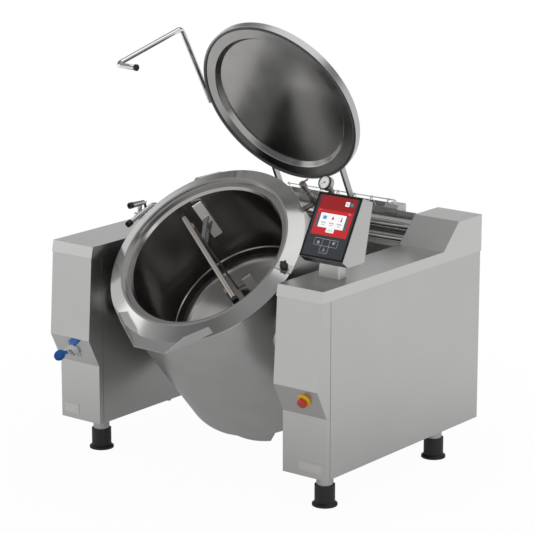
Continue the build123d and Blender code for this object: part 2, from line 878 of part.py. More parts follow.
# housing of the mixer's drive under the body
with BuildPart() as drive_housing:
    with BuildSketch(kettle_plane(drive_bottom)):
        Circle(drive_front_radius)
        with Locations((0, (drive_rear - drive_front_radius) / 2)):
            Rectangle(2 * drive_half_width, drive_rear + drive_front_radius, mode=Mode.INTERSECT)
    extrude(amount=drive_bottom - body_seam)
    roof = drive_housing.faces().sort_by(kettle_axis)[-1]
    offset(amount=-sheet, openings=roof)
    add(body_core.part, mode=Mode.SUBTRACT)
drive_housing.part.label = "drive_housing"
export_step(drive_housing.part, "parts/drive_housing.step")

# gear motor of the mixer, hung from the jacket by a lantern
with BuildPart() as mixer_motor:
    with BuildSketch(kettle_plane(mixer_gearbox_top)):
        Circle(lantern_radius)
        Circle(lantern_radius - lantern_wall, mode=Mode.SUBTRACT)
    extrude(amount=mixer_gearbox_top + jacket_bottom + jacket_wall)
    add(steam_jacket.part, mode=Mode.SUBTRACT)
    with BuildSketch(kettle_plane(mixer_gearbox_top + mixer_gearbox_height)):
        Circle(mixer_gearbox_radius)
    extrude(amount=mixer_gearbox_height)
    with BuildSketch(kettle_plane(mixer_motor_bottom)):
        Circle(mixer_motor_radius)
    extrude(amount=mixer_motor_bottom - mixer_gearbox_top - mixer_gearbox_height)
    with BuildSketch(kettle_plane(mixer_gearbox_top + mixer_gearbox_height)):
        Circle(shaft_radius + running_fit)
    extrude(amount=mixer_gearbox_height, mode=Mode.SUBTRACT)
mixer_motor.part.label = "mixer_motor"
export_step(mixer_motor.part, "parts/mixer_motor.step")

# ---------------------------------------------------------------- mixer
bar_side = crossbar_radius + side_bar_thickness / 2 - weld
hub_bottom = -vessel_bottom - hub_clearance
arm_bottom = side_bar_bottom
with BuildPart() as mixer_frame:
    # bright crossbar
    with BuildSketch(Plane(mixer_section().from_local_coords(Vector(-crossbar_half, -crossbar_depth, 0)),
                           x_dir=kettle_up, z_dir=mixer_plane(0).x_dir)):
        Circle(crossbar_radius)
    extrude(amount=2 * crossbar_half)
    # flat side bars and the arms that follow the dished bottom to the hub
    for turn in (-1, 1):
        with BuildSketch(mixer_section(-turn * bar_side)):
            with BuildLine():
                Polyline(
                    (turn * (side_bar_reach - side_bar_width / 2), -crossbar_depth),
                    (turn * (side_bar_reach + side_bar_width / 2), -crossbar_depth),
                    (turn * (side_bar_reach + side_bar_width / 2), -arm_bottom),
                    (0, -hub_bottom),
                    (0, -hub_bottom + side_bar_width),
                    (turn * (side_bar_reach - side_bar_width / 2), -arm_bottom + side_bar_width),
                    close=True,
                )
            make_face()
        extrude(amount=side_bar_thickness / 2, both=True)
    # hub and shaft
    with BuildSketch(kettle_plane(hub_bottom)):
        Circle(hub_radius)
    extrude(amount=hub_height)
    with BuildSketch(kettle_plane(mixer_gearbox_top + mixer_gearbox_height)):
        Circle(shaft_radius)
    extrude(amount=mixer_gearbox_top + mixer_gearbox_height - hub_bottom)
mixer_frame.part.label = "mixer_frame"
export_step(mixer_frame.part, "parts/mixer_frame.step")

with BuildPart() as mixer_caps:
    for turn in (-1, 1):
        end = mixer_section().from_local_coords(Vector(turn * crossbar_half, -crossbar_depth, 0))
        outward = mixer_plane(0).x_dir * turn
        with BuildSketch(Plane(end - outward * cap_length, x_dir=kettle_up, z_dir=outward)):
            Circle(crossbar_radius + cap_wall)
            Circle(crossbar_radius, mode=Mode.SUBTRACT)
        extrude(amount=cap_length)
        with BuildSketch(Plane(end, x_dir=kettle_up, z_dir=outward)):
            Circle(crossbar_radius + cap_wall)
        extrude(amount=cap_wall)
mixer_caps.part.label = "mixer_caps"
export_step(mixer_caps.part, "parts/mixer_caps.step")

# scraper blades and the tabs that carry them
blade_rows = (
    (upper_blade_reach, upper_blade_side, upper_blade_top, upper_blade_length),
    (lower_blade_reach, lower_blade_side, lower_blade_top, lower_blade_length),
)
with BuildPart() as scraper_blades:
    for turn in (-1, 1):
        for reach, start, top, length in blade_rows:
            with BuildSketch(mixer_plane(top + length)):
                with Locations((turn * reach, -turn * (start + blade_width / 2))):
                    Rectangle(blade_thickness, blade_width)
            extrude(amount=length)
scraper_blades.part.label = "scraper_blades"
export_step(scraper_blades.part, "parts/scraper_blades.step")

with BuildPart() as blade_brackets:
    bar_face = crossbar_radius + side_bar_thickness - weld
    for turn in (-1, 1):
        near = upper_blade_reach - blade_thickness / 2
        for depth in (tab_depth, tab_depth + tab_pitch):
            with BuildSketch(mixer_plane(depth + tab_thickness)):
                with BuildLine():
                    Polyline(
                        (turn * (side_bar_reach - side_bar_width / 2), -turn * bar_face),
                        (turn * (side_bar_reach + side_bar_width / 2), -turn * bar_face),
                        (turn * near, -turn * (upper_blade_side + side_bar_thickness)),
                        (turn * near, -turn * (upper_blade_side + blade_width - side_bar_thickness)),
                        close=True,
                    )
                make_face()
            extrude(amount=tab_thickness)
        low = lower_blade_top + lower_blade_length / 2
        with BuildSketch(mixer_plane(low)):
            with BuildLine():
                Polyline(
                    (turn * (side_bar_reach - side_bar_width / 2), -turn * bar_face),
                    (turn * (side_bar_reach + side_bar_width / 2), -turn * bar_face),
                    (turn * (lower_blade_reach + blade_thickness / 2), -turn * (lower_blade_side + blade_width)),
                    (turn * (lower_blade_reach + blade_thickness / 2), -turn * lower_blade_side),
                    close=True,
                )
            make_face()
        extrude(amount=tab_thickness)
blade_brackets.part.label = "blade_brackets"
export_step(blade_brackets.part, "parts/blade_brackets.step")

# ---------------------------------------------------------------- lid
# hollow lid: a pressed liner with the gasket's groove, closed by a cover with a straight edge
groove_outer = groove_inner + groove_width
with BuildPart() as lid_liner:
    with BuildSketch(lid_section):
        with BuildLine():
            Polyline(
                (0, lid_panel_rise),
                (lid_panel_radius, lid_panel_rise),
                (lid_ring_radius - sheet, sheet),
                (lid_ring_radius, 0),
                (groove_inner, 0),
                (groove_inner, groove_depth),
                (groove_outer, groove_depth),
                (groove_outer, 0),
                (lid_radius - sheet, 0),
                (lid_radius - sheet, sheet),
                (groove_outer + sheet, sheet),
                (groove_outer + sheet, groove_depth + sheet),
                (groove_inner - sheet, groove_depth + sheet),
                (groove_inner - sheet, sheet),
                (lid_ring_radius + sheet / 2, sheet),
                (lid_panel_radius + sheet / 2, lid_panel_rise + sheet),
                (0, lid_panel_rise + sheet),
                close=True,
            )
        make_face()
    revolve(axis=lid_axis)
lid_liner.part.label = "lid_liner"
export_step(lid_liner.part, "parts/lid_liner.step")

with BuildPart() as lid_cover:
    with BuildSketch(lid_section):
        with BuildLine():
            Polyline(
                (lid_radius - sheet, -sheet),
                (lid_radius, -sheet),
                (lid_radius, lid_edge_rise),
                (lid_radius - sheet, lid_edge_rise + sheet),
                (lid_top_radius, lid_top_rise),
                (0, lid_top_rise),
                (0, lid_top_rise - sheet),
                (lid_top_radius, lid_top_rise - sheet),
                (lid_radius - sheet, lid_edge_rise),
                close=True,
            )
        make_face()
    revolve(axis=lid_axis)
lid_cover.part.label = "lid_cover"
export_step(lid_cover.part, "parts/lid_cover.step")

with BuildPart() as lid_gasket:
    with BuildSketch(lid_plane(-gasket_proud)):
        Circle(groove_outer)
        Circle(groove_inner, mode=Mode.SUBTRACT)
    extrude(amount=gasket_proud + groove_depth)
    low_edges = lid_gasket.faces().sort_by(lid_axis)[0].edges()
    fillet(low_edges, groove_width / 3)
lid_gasket.part.label = "lid_gasket"
export_step(lid_gasket.part, "parts/lid_gasket.step")

# two arms on edge from the lid's back to eyes round the hinge shaft
with BuildPart() as lid_arms:
    for side in (-1, 1):
        with BuildSketch(lid_side_plane(side * arm_x)):
            with Locations(((lid_hinge_reach - arm_front) / 2, lid_top_rise + arm_height / 2)):
                Rectangle(lid_hinge_reach + arm_front, arm_height)
            with Locations((lid_hinge_reach, lid_hinge_rise)):
                Circle(arm_eye_radius)
                Circle(hinge_shaft_radius, mode=Mode.SUBTRACT)
        extrude(amount=arm_thickness / 2, both=True)
lid_arms.part.label = "lid_arms"
export_step(lid_arms.part, "parts/lid_arms.step")

shaft_half = inner_x + sheet + hinge_bearing_length
with BuildPart() as hinge_shaft:
    with BuildSketch(side_plane(0)):
        with Locations((hinge_y, hinge_z)):
            Circle(hinge_shaft_radius)
            Circle(hinge_shaft_bore, mode=Mode.SUBTRACT)
    extrude(amount=shaft_half, both=True)
hinge_shaft.part.label = "hinge_shaft"
export_step(hinge_shaft.part, "parts/hinge_shaft.step")

# bent handle, welded to the lid's edge by two lugs
handle_points = [
    (-handle_x, handle_root, 9.0),
    (-handle_x, -handle_crown, -15.0),
    (-handle_x, -handle_crown - handle_lead, -15.0 - handle_drop),
    (-handle_x + handle_grip, -handle_crown - handle_lead, -15.0 - handle_drop),
]
handle_route = [lid_plane(0).from_local_coords(Vector(*point)) for point in handle_points]
with BuildPart() as lid_handle:
    with BuildLine() as handle_line:
        FilletPolyline(*handle_route, radius=handle_bend)
    with BuildSketch(Plane(handle_route[0], z_dir=handle_line.line % 0)):
        Circle(handle_radius)
    sweep(path=handle_line.line)
    with BuildSketch(lid_plane(4.0)):
        with Locations((-handle_x + lug_reach, lug_spread), (-handle_x + lug_reach, -lug_spread)):
            Rectangle(2 * lug_reach, lug_width)
    extrude(amount=lug_thickness)
    add(lid_cover.part, mode=Mode.SUBTRACT)
lid_handle.part.label = "lid_handle"
export_step(lid_handle.part, "parts/lid_handle.step")

with BuildPart() as handle_cap:
    with BuildSketch(Plane(handle_route[-1], z_dir=(1, 0, 0))):
        Circle(handle_cap_radius)
    extrude(amount=handle_cap_length)
    fillet(handle_cap.faces().filter_by(Axis.X).edges(), handle_cap_length / 4)
handle_cap.part.label = "handle_cap"
export_step(handle_cap.part, "parts/handle_cap.step")

# ---------------------------------------------------------------- controls
glass_foot, glass_head = panel_profile[0], panel_profile[1]
glass_line = Vector(glass_head[0] - glass_foot[0], glass_head[1] - glass_foot[1])
glass_height = glass_line.length
glass_up = Vector(0, glass_line.X, glass_line.Y).normalized()
glass_middle = Vector(
    panel_x,
    front_y + (glass_foot[0] + glass_head[0]) / 2,
    (glass_foot[1] + glass_head[1]) / 2,
)
glass_plane = Plane(glass_middle, x_dir=(1, 0, 0), z_dir=Vector(1, 0, 0).cross(glass_up))
with BuildPart() as control_housing:
    with BuildSketch(side_plane(panel_x)):
        with BuildLine():
            Polyline(*panel_profile, close=True)
        make_face()
    extrude(amount=panel_width / 2, both=True)
    with BuildSketch(glass_plane):
        Rectangle(panel_width, glass_height)
    extrude(amount=-glass_thickness, mode=Mode.SUBTRACT)
    with BuildSketch(glass_plane.offset(-glass_thickness)):
        Rectangle(screen_width, screen_height)
    extrude(amount=-screen_thickness, mode=Mode.SUBTRACT)
control_housing.part.label = "control_housing"
export_step(control_housing.part, "parts/control_housing.step")

with BuildPart() as control_glass:
    with BuildSketch(glass_plane.offset(-glass_thickness)):
        Rectangle(panel_width, glass_height)
    extrude(amount=glass_thickness)
control_glass.part.label = "control_glass"
export_step(control_glass.part, "parts/control_glass.step")

with BuildPart() as control_display:
    with BuildSketch(glass_plane.offset(-glass_thickness)):
        Rectangle(screen_width, screen_height)
    extrude(amount=-screen_thickness)
control_display.part.label = "control_display"
export_step(control_display.part, "parts/control_display.step")

panel_bottom = min(z for y, z in panel_profile)
with BuildPart() as control_neck:
    for height, scale in ((top_height, 1.0), (panel_bottom, 0.9)):
        with BuildSketch(level_plane(height)):
            with Locations((panel_x, neck_front + neck_depth / 2)):
                RectangleRounded(neck_width * scale, neck_depth * scale, neck_depth / 8)
    loft()
control_neck.part.label = "control_neck"
export_step(control_neck.part, "parts/control_neck.step")

# emergency stop: yellow collar with its barrel and contact block, red head on a stem
stop_plane = return_plane(stop_x, stop_fall)
block_depth = 30.0
with BuildPart() as stop_collar:
    with BuildSketch(stop_plane):
        Circle(stop_ring_radius)
    extrude(amount=stop_ring_height)
    fillet(stop_collar.edges().group_by(Axis((0, 0, 0), stop_plane.z_dir))[-1], stop_ring_height / 3)
    with BuildSketch(stop_plane):
        Circle(stop_barrel_radius)
    extrude(amount=-sheet)
    with BuildSketch(stop_plane.offset(-sheet)):
        Rectangle(stop_block, stop_block)
    extrude(amount=-block_depth)
    with BuildSketch(stop_plane.offset(stop_ring_height)):
        Circle(stop_stem_radius + running_fit)
    extrude(amount=-stop_ring_height - block_depth, mode=Mode.SUBTRACT)
stop_collar.part.label = "stop_collar"
export_step(stop_collar.part, "parts/stop_collar.step")

stop_rest = stop_ring_height + stop_travel + 1.5
with BuildPart() as stop_button:
    with BuildSketch(stop_plane.offset(stop_rest)):
        Circle(stop_head_radius)
    extrude(amount=stop_head_height)
    fillet(stop_button.edges().group_by(Axis((0, 0, 0), stop_plane.z_dir))[-1], stop_head_height / 2)
    with BuildSketch(stop_plane.offset(stop_rest)):
        Circle(stop_stem_radius)
    extrude(amount=-stop_rest - block_depth / 2)
stop_button.part.label = "stop_button"
export_step(stop_button.part, "parts/stop_button.step")

# power socket with its spring cap
socket_plane = return_plane(socket_x, socket_fall)
cap_hinge = socket_radius + 6.0
pin_radius = 2.0
knuckle_half = 9.0
ear_thickness = 3.0
end_play = 0.3
pivot_place = socket_plane.from_local_coords(Vector(-cap_hinge, 0, socket_height))
cap_pivot = Plane(pivot_place, x_dir=(1, 0, 0), z_dir=socket_plane.y_dir)
with BuildPart() as power_socket:
    with BuildSketch(socket_plane):
        RectangleRounded(socket_flange, socket_flange, socket_flange / 8)
    extrude(amount=sheet * 1.5)
    with BuildSketch(socket_plane):
        Circle(socket_radius)
    extrude(amount=socket_height)
    with BuildSketch(socket_plane):
        Circle(socket_bore + sheet)
    extrude(amount=-block_depth)
    with BuildSketch(socket_plane.offset(socket_height)):
        Circle(socket_bore)
    extrude(amount=-socket_height - block_depth + sheet, mode=Mode.SUBTRACT)
    with BuildSketch(socket_plane.offset(sheet - block_depth)):
        Circle(socket_bore * 0.6)
        with PolarLocations(socket_bore * 0.35, 4):
            Circle(2.5, mode=Mode.SUBTRACT)
    extrude(amount=block_depth)
    with BuildSketch(cap_pivot):
        Circle(pin_radius)
    extrude(amount=knuckle_half + ear_thickness, both=True)
    for end in (-1, 1):
        with BuildSketch(cap_pivot.offset(end * (knuckle_half + end_play))):
            Circle(2 * pin_radius)
            with Locations((cap_hinge - socket_radius + pin_radius, 0)):
                Rectangle(
                    cap_hinge - socket_radius + 3 * pin_radius,
                    socket_height,
                    align=(Align.MAX, Align.MIN),
                )
        extrude(amount=end * ear_thickness)
power_socket.part.label = "power_socket"
export_step(power_socket.part, "parts/power_socket.step")

swing = radians(socket_cap_open)
open_cap = Plane(
    pivot_place,
    x_dir=Vector(cos(swing), 0, 0) + socket_plane.z_dir * sin(swing),
    z_dir=Vector(-sin(swing), 0, 0) + socket_plane.z_dir * cos(swing),
)
with BuildPart() as socket_cap:
    with BuildSketch(open_cap.offset(1.0)):
        with Locations((cap_hinge, 0)):
            Circle(socket_radius)
        with Locations((cap_hinge / 4, 0)):
            Rectangle(cap_hinge / 2, 2 * knuckle_half)
    extrude(amount=4.0)
    with BuildSketch(open_cap.offset(1.0)):
        with Locations((cap_hinge, 0)):
            Circle(socket_bore - 1.0)
            Circle(socket_bore - 3.0, mode=Mode.SUBTRACT)
    extrude(amount=-6.0)
    with BuildSketch(cap_pivot):
        Circle(2 * pin_radius)
    extrude(amount=knuckle_half, both=True)
    with BuildSketch(cap_pivot):
        Circle(pin_radius + running_fit)
    extrude(amount=knuckle_half, both=True, mode=Mode.SUBTRACT)
socket_cap.part.label = "socket_cap"
export_step(socket_cap.part, "parts/socket_cap.step")

# ---------------------------------------------------------------- water fittings
with BuildPart() as tap_base:
    with BuildSketch(level_plane(top_height)):
        with Locations((tap_x, tap_y)):
            Circle(tap_base_radius)
    extrude(amount=tap_base_height)
    fillet(tap_base.edges().group_by(Axis.Z)[-1], tap_base_radius / 3)
    with BuildSketch(level_plane(top_height)):
        with Locations((tap_x, tap_y)):
            Circle(tap_radius + running_fit)
    extrude(amount=tap_base_height, mode=Mode.SUBTRACT)
tap_base.part.label = "tap_base"
export_step(tap_base.part, "parts/tap_base.step")

tap_route = [
    (tap_x, front_y + tap_y, top_height + sheet),
    (tap_x, front_y + tap_y, tap_corner_z),
    (tap_x, front_y + tap_outlet_y, tap_outlet_z),
]
with BuildPart() as tap_spout:
    with BuildLine() as tap_line:
        FilletPolyline(*tap_route, radius=tap_bend)
    with BuildSketch(Plane(tap_route[0], z_dir=(0, 0, 1))):
        Circle(tap_radius)
    sweep(path=tap_line.line)
tap_spout.part.label = "tap_spout"
export_step(tap_spout.part, "parts/tap_spout.step")

tap_end = Plane(tap_route[-1], z_dir=tap_line.line % 1)
with BuildPart() as tap_tip:
    with BuildSketch(tap_end.offset(-tap_tip_length * 0.6)):
        Circle(tap_tip_radius)
        Circle(tap_radius, mode=Mode.SUBTRACT)
    extrude(amount=tap_tip_length)
tap_tip.part.label = "tap_tip"
export_step(tap_tip.part, "parts/tap_tip.step")

# holder and hand spray gun
gun_place = (gun_x, gun_y)
gun_axis = Axis((gun_x, front_y + gun_y, 0), (0, 0, 1))
gun_rear_y = gun_y + gun_overhang
with BuildPart() as gun_holder:
    with BuildSketch(level_plane(top_height)):
        with Locations(gun_place):
            Circle(holder_post_radius)
    extrude(amount=holder_seat_z - top_height)
    with BuildSketch(level_plane(holder_low_z)):
        with Locations(gun_place):
            Circle(holder_radius)
    extrude(amount=holder_top_z - holder_low_z)
    rings = gun_holder.edges().filter_by(GeomType.CIRCLE)
    fillet([ring for ring in rings if ring.radius > holder_post_radius], holder_round)
    with BuildSketch(level_plane(holder_seat_z)):
        with Locations(gun_place):
            Circle(gun_handle_radius + running_fit)
    extrude(amount=holder_top_z - holder_seat_z, mode=Mode.SUBTRACT)
    with BuildSketch(level_plane(top_height)):
        with Locations(gun_place):
            Circle(gun_stem_radius + running_fit)
    extrude(amount=holder_seat_z - top_height, mode=Mode.SUBTRACT)
gun_holder.part.label = "gun_holder"
export_step(gun_holder.part, "parts/gun_holder.step")

pivot_place = (gun_rear_y + trigger_reach, gun_top_z)
ear_half = trigger_half_width + trigger_gap + trigger_ear
with BuildPart() as spray_gun:
    with BuildSketch(side_plane(gun_x)):
        with BuildLine():
            Polyline(
                (gun_y, top_height + sheet),
                (gun_y + gun_stem_radius, top_height + sheet),
                (gun_y + gun_stem_radius, holder_seat_z),
                (gun_y + gun_handle_radius, holder_seat_z),
                (gun_y + gun_handle_radius, holder_top_z),
                (gun_y + gun_grip_radius, gun_top_z),
                (gun_y, gun_top_z),
                close=True,
            )
        make_face()
    revolve(axis=gun_axis)
    for y, radius in ((gun_rear_y, gun_rear_radius), (gun_rear_y - gun_barrel_length, gun_barrel_radius)):
        with BuildSketch(front_plane(y)):
            with Locations((gun_x, gun_top_z)):
                Circle(radius)
    loft()
    with BuildSketch(side_plane(gun_x)):
        with Locations(pivot_place):
            Circle(trigger_eye)
            Rectangle(2 * trigger_reach, 2 * trigger_eye, align=(Align.MAX, Align.CENTER))
    extrude(amount=ear_half, both=True)
    with BuildSketch(side_plane(gun_x)):
        with Locations((gun_rear_y, gun_top_z)):
            Rectangle(
                2 * (trigger_reach + trigger_eye),
                2 * gun_rear_radius,
                align=(Align.MIN, Align.CENTER),
            )
    extrude(amount=trigger_half_width + trigger_gap, both=True, mode=Mode.SUBTRACT)
    with BuildSketch(side_plane(gun_x)):
        with Locations(pivot_place):
            Circle(trigger_pin)
    extrude(amount=ear_half, both=True)
spray_gun.part.label = "spray_gun"
export_step(spray_gun.part, "parts/spray_gun.step")

with BuildPart() as spray_nozzle:
    with BuildSketch(front_plane(gun_rear_y - gun_barrel_length)):
        with Locations((gun_x, gun_top_z)):
            Circle(gun_barrel_radius)
            Circle(gun_barrel_radius / 2, mode=Mode.SUBTRACT)
    extrude(amount=gun_barrel_radius)
spray_nozzle.part.label = "spray_nozzle"
export_step(spray_nozzle.part, "parts/spray_nozzle.step")

with BuildPart() as spray_trigger:
    with BuildSketch(side_plane(gun_x)):
        with Locations(pivot_place):
            Circle(trigger_eye)
            Rectangle(
                trigger_thickness,
                trigger_length,
                rotation=trigger_lean,
                align=(Align.CENTER, Align.MAX),
            )
            Circle(trigger_pin + running_fit, mode=Mode.SUBTRACT)
    extrude(amount=trigger_half_width, both=True)
spray_trigger.part.label = "spray_trigger"
export_step(spray_trigger.part, "parts/spray_trigger.step")

# threaded water inlets under the left column, each with a hexagon against the base plate
flange_z = foot_height - inlet_flange
stub_end_z = flange_z - relief_length - stub_length
with BuildPart() as water_inlets:
    with BuildSketch(level_plane(stub_end_z)):
        with Locations((-column_x, stub_y)):
            with GridLocations(stub_pitch, 1, 2, 1):
                Circle(stub_radius)
    extrude(amount=stub_length)
    with BuildSketch(level_plane(flange_z - relief_length)):
        with Locations((-column_x, stub_y)):
            with GridLocations(stub_pitch, 1, 2, 1):
                Circle(relief_radius)
    extrude(amount=relief_length)
    with BuildSketch(level_plane(flange_z)):
        with Locations((-column_x, stub_y)):
            with GridLocations(stub_pitch, 1, 2, 1):
                RegularPolygon(inlet_flange_radius, 6)
    extrude(amount=inlet_flange)
    with BuildSketch(level_plane(foot_height)):
        with Locations((-column_x, stub_y)):
            with GridLocations(stub_pitch, 1, 2, 1):
                Circle(inlet_body_radius)
    extrude(amount=base_thickness)
    with BuildSketch(level_plane(stub_end_z)):
        with Locations((-column_x, stub_y)):
            with GridLocations(stub_pitch, 1, 2, 1):
                Circle(stub_bore)
    extrude(amount=foot_height + base_thickness - stub_end_z, mode=Mode.SUBTRACT)
water_inlets.part.label = "water_inlets"
export_step(water_inlets.part, "parts/water_inlets.step")

# ---------------------------------------------------------------- safety group on the kettle
radial_section = kettle_section(safety_turn)
pipe_start = radial_section.from_local_coords(Vector(body_radius - pipe_radius, -pipe_depth, 0))
with BuildPart() as safety_pipe:
    with BuildSketch(Plane(pipe_start, z_dir=radial_section.x_dir)):
        Circle(pipe_radius)
    extrude(amount=pipe_reach - body_radius + pipe_radius)
    add(body_core.part, mode=Mode.SUBTRACT)
    gauge_foot = radial_section.from_local_coords(Vector(pipe_reach, -pipe_depth, 0))
    with BuildSketch(Plane(gauge_foot, z_dir=kettle_up)):
        Circle(pipe_radius)
    extrude(amount=pipe_depth - gauge_depth - gauge_radius + 1.0)
safety_pipe.part.label = "safety_pipe"
export_step(safety_pipe.part, "parts/safety_pipe.step")

valve_up = kettle_up * cos(radians(valve_lean)) + radial_section.x_dir * sin(radians(valve_lean))
valve_foot = radial_section.from_local_coords(Vector(valve_reach, -pipe_depth, 0))
with BuildPart() as safety_valve:
    with BuildSketch(Plane(valve_foot, z_dir=valve_up)):
        RegularPolygon(valve_radius, 6)
    extrude(amount=valve_length * 0.4)
    with BuildSketch(Plane(valve_foot + valve_up * valve_length * 0.4, z_dir=valve_up)):
        Circle(valve_radius * 0.8)
    extrude(amount=valve_length * 0.5)
    with BuildSketch(Plane(valve_foot + valve_up * valve_length * 0.8, z_dir=valve_up)):
        Circle(valve_radius * 1.15)
    extrude(amount=valve_length * 0.12)
    add(safety_pipe.part, mode=Mode.SUBTRACT)
safety_valve.part.label = "safety_valve"
export_step(safety_valve.part, "parts/safety_valve.step")

gauge_centre = radial_section.from_local_coords(Vector(pipe_reach, -gauge_depth, 0))
with BuildPart() as pressure_gauge:
    with BuildSketch(Plane(gauge_centre, z_dir=-radial_section.x_dir)):
        Circle(gauge_radius)
    extrude(amount=gauge_thickness / 2, both=True)
    with BuildSketch(Plane(gauge_centre, z_dir=-radial_section.x_dir).offset(gauge_thickness / 2)):
        Circle(gauge_radius - sheet)
    extrude(amount=-sheet, mode=Mode.SUBTRACT)
    add(safety_pipe.part, mode=Mode.SUBTRACT)
pressure_gauge.part.label = "pressure_gauge"
export_step(pressure_gauge.part, "parts/pressure_gauge.step")

# bracket over the collar with a star knob
knob_reach = 400.0
bracket_width = 34.0
with BuildPart() as rim_bracket:
    with BuildSketch(kettle_section().offset(-bracket_width / 2)):
        with BuildLine():
            Polyline(
                (rim_radius - 8.0, collar_step),
                (rim_radius - 8.0, collar_step + collar_sheet),
                (flat_outer + 1.0, collar_step + collar_sheet),
                (collar_radius + 6.0, -collar_edge + collar_sheet),
                (collar_radius + 6.0, -collar_edge - 4 * collar_sheet),
                (collar_radius, -collar_edge - 4 * collar_sheet),
                (collar_radius, -collar_edge),
                (flat_outer, collar_step),
                close=True,
            )
        make_face()
    extrude(amount=bracket_width)
    add(rim_collar.part, mode=Mode.SUBTRACT)
rim_bracket.part.label = "rim_bracket"
export_step(rim_bracket.part, "parts/rim_bracket.step")

flare_up = (kettle_up * flare_run + Vector(1, 0, 0) * flare_drop).normalized()
knob_foot = kettle_section().from_local_coords(
    Vector(knob_reach, collar_step - flare_drop * (knob_reach - flat_outer) / flare_run, 0)
)
knob_plane = Plane(knob_foot, x_dir=kettle_back, z_dir=flare_up)
knob_radius = 17.0
knob_seat = collar_sheet * 1.5 + 0.3
with BuildPart() as star_knob:
    with BuildSketch(knob_plane.offset(knob_seat + 8.0)):
        Circle(knob_radius * 0.7)
        with PolarLocations(knob_radius * 0.68, 5):
            Circle(knob_radius * 0.34)
    extrude(amount=16.0)
    with BuildSketch(knob_plane.offset(knob_seat)):
        Circle(knob_radius * 0.4)
    extrude(amount=8.0)
star_knob.part.label = "star_knob"
export_step(star_knob.part, "parts/star_knob.step")
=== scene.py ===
from math import cos, pi, radians, sin, tan

import bmesh
import bpy
from mathutils import Matrix, Vector


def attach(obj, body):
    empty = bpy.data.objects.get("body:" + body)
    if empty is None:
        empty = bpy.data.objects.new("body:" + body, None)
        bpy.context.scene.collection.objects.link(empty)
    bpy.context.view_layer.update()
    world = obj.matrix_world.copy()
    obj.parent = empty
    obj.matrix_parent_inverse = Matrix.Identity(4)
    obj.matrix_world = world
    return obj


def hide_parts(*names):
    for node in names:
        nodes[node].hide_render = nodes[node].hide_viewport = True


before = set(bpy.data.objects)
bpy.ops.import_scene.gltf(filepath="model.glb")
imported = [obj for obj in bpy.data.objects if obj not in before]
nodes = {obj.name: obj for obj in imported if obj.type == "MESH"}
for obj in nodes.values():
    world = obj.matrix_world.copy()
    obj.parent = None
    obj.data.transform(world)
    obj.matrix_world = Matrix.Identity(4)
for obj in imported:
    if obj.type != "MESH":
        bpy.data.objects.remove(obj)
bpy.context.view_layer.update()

mm = 0.001  # frames and lamps stand in metres; shapes are drawn on them in millimetres
print("frame loaded:", len(nodes), "nodes")


def hexToLinear(code):
    # sRGB hex value to linear RGBA
    channels = [int(code[i : i + 2], 16) / 255 for i in (1, 3, 5)]
    return [c / 12.92 if c <= 0.04045 else ((c + 0.055) / 1.055) ** 2.4 for c in channels] + [1.0]


def addNode(tree, kind, links=None, **settings):
    # one node with its settings; links maps an input to a socket or a plain value
    node = tree.nodes.new(kind)
    for name, value in settings.items():
        setattr(node, name, value)
    for name, source in (links or {}).items():
        if isinstance(source, bpy.types.NodeSocket):
            tree.links.new(source, node.inputs[name])
        else:
            node.inputs[name].default_value = source
    return node


def newMaterial(name):
    material = bpy.data.materials.new(name)
    material.use_nodes = True
    tree = material.node_tree
    tree.nodes.clear()
    output = addNode(tree, "ShaderNodeOutputMaterial")
    shader = addNode(tree, "ShaderNodeBsdfPrincipled")
    tree.links.new(shader.outputs[0], output.inputs["Surface"])
    place = addNode(tree, "ShaderNodeTexCoord").outputs["Object"]
    return material, tree, shader, place


def grainPattern(tree, place, size, detail, stretch=(1, 1, 1)):
    # soft random pattern whose features are about size metres, drawn out along the short axes of stretch
    spread = addNode(tree, "ShaderNodeMapping", {"Vector": place, "Scale": stretch})
    noise = {"Vector": spread.outputs[0], "Scale": 1 / size, "Detail": detail, "Roughness": 0.5}
    return addNode(tree, "ShaderNodeTexNoise", noise).outputs["Fac"]


def dressShader(tree, shader, tone, grain, light, dark, roughness):
    # colour follows the tone from dark to light, roughness follows the grain from low to high
    shades = {"Factor": tone, 6: hexToLinear(dark), 7: hexToLinear(light)}
    colour = addNode(tree, "ShaderNodeMix", shades, data_type="RGBA").outputs[2]
    polish = {"Value": grain, "To Min": roughness[0], "To Max": roughness[1]}
    tree.links.new(colour, shader.inputs["Base Color"])
    tree.links.new(addNode(tree, "ShaderNodeMapRange", polish).outputs[0], shader.inputs["Roughness"])
    return colour


def roundEdges(tree, shader, height, depth, radius):
    # soft edges, with the grain as a fine relief on them
    edge = addNode(tree, "ShaderNodeBevel", {"Radius": radius}, samples=4).outputs[0]
    relief = addNode(tree, "ShaderNodeBump", {"Height": height, "Distance": depth, "Normal": edge})
    tree.links.new(relief.outputs[0], shader.inputs["Normal"])


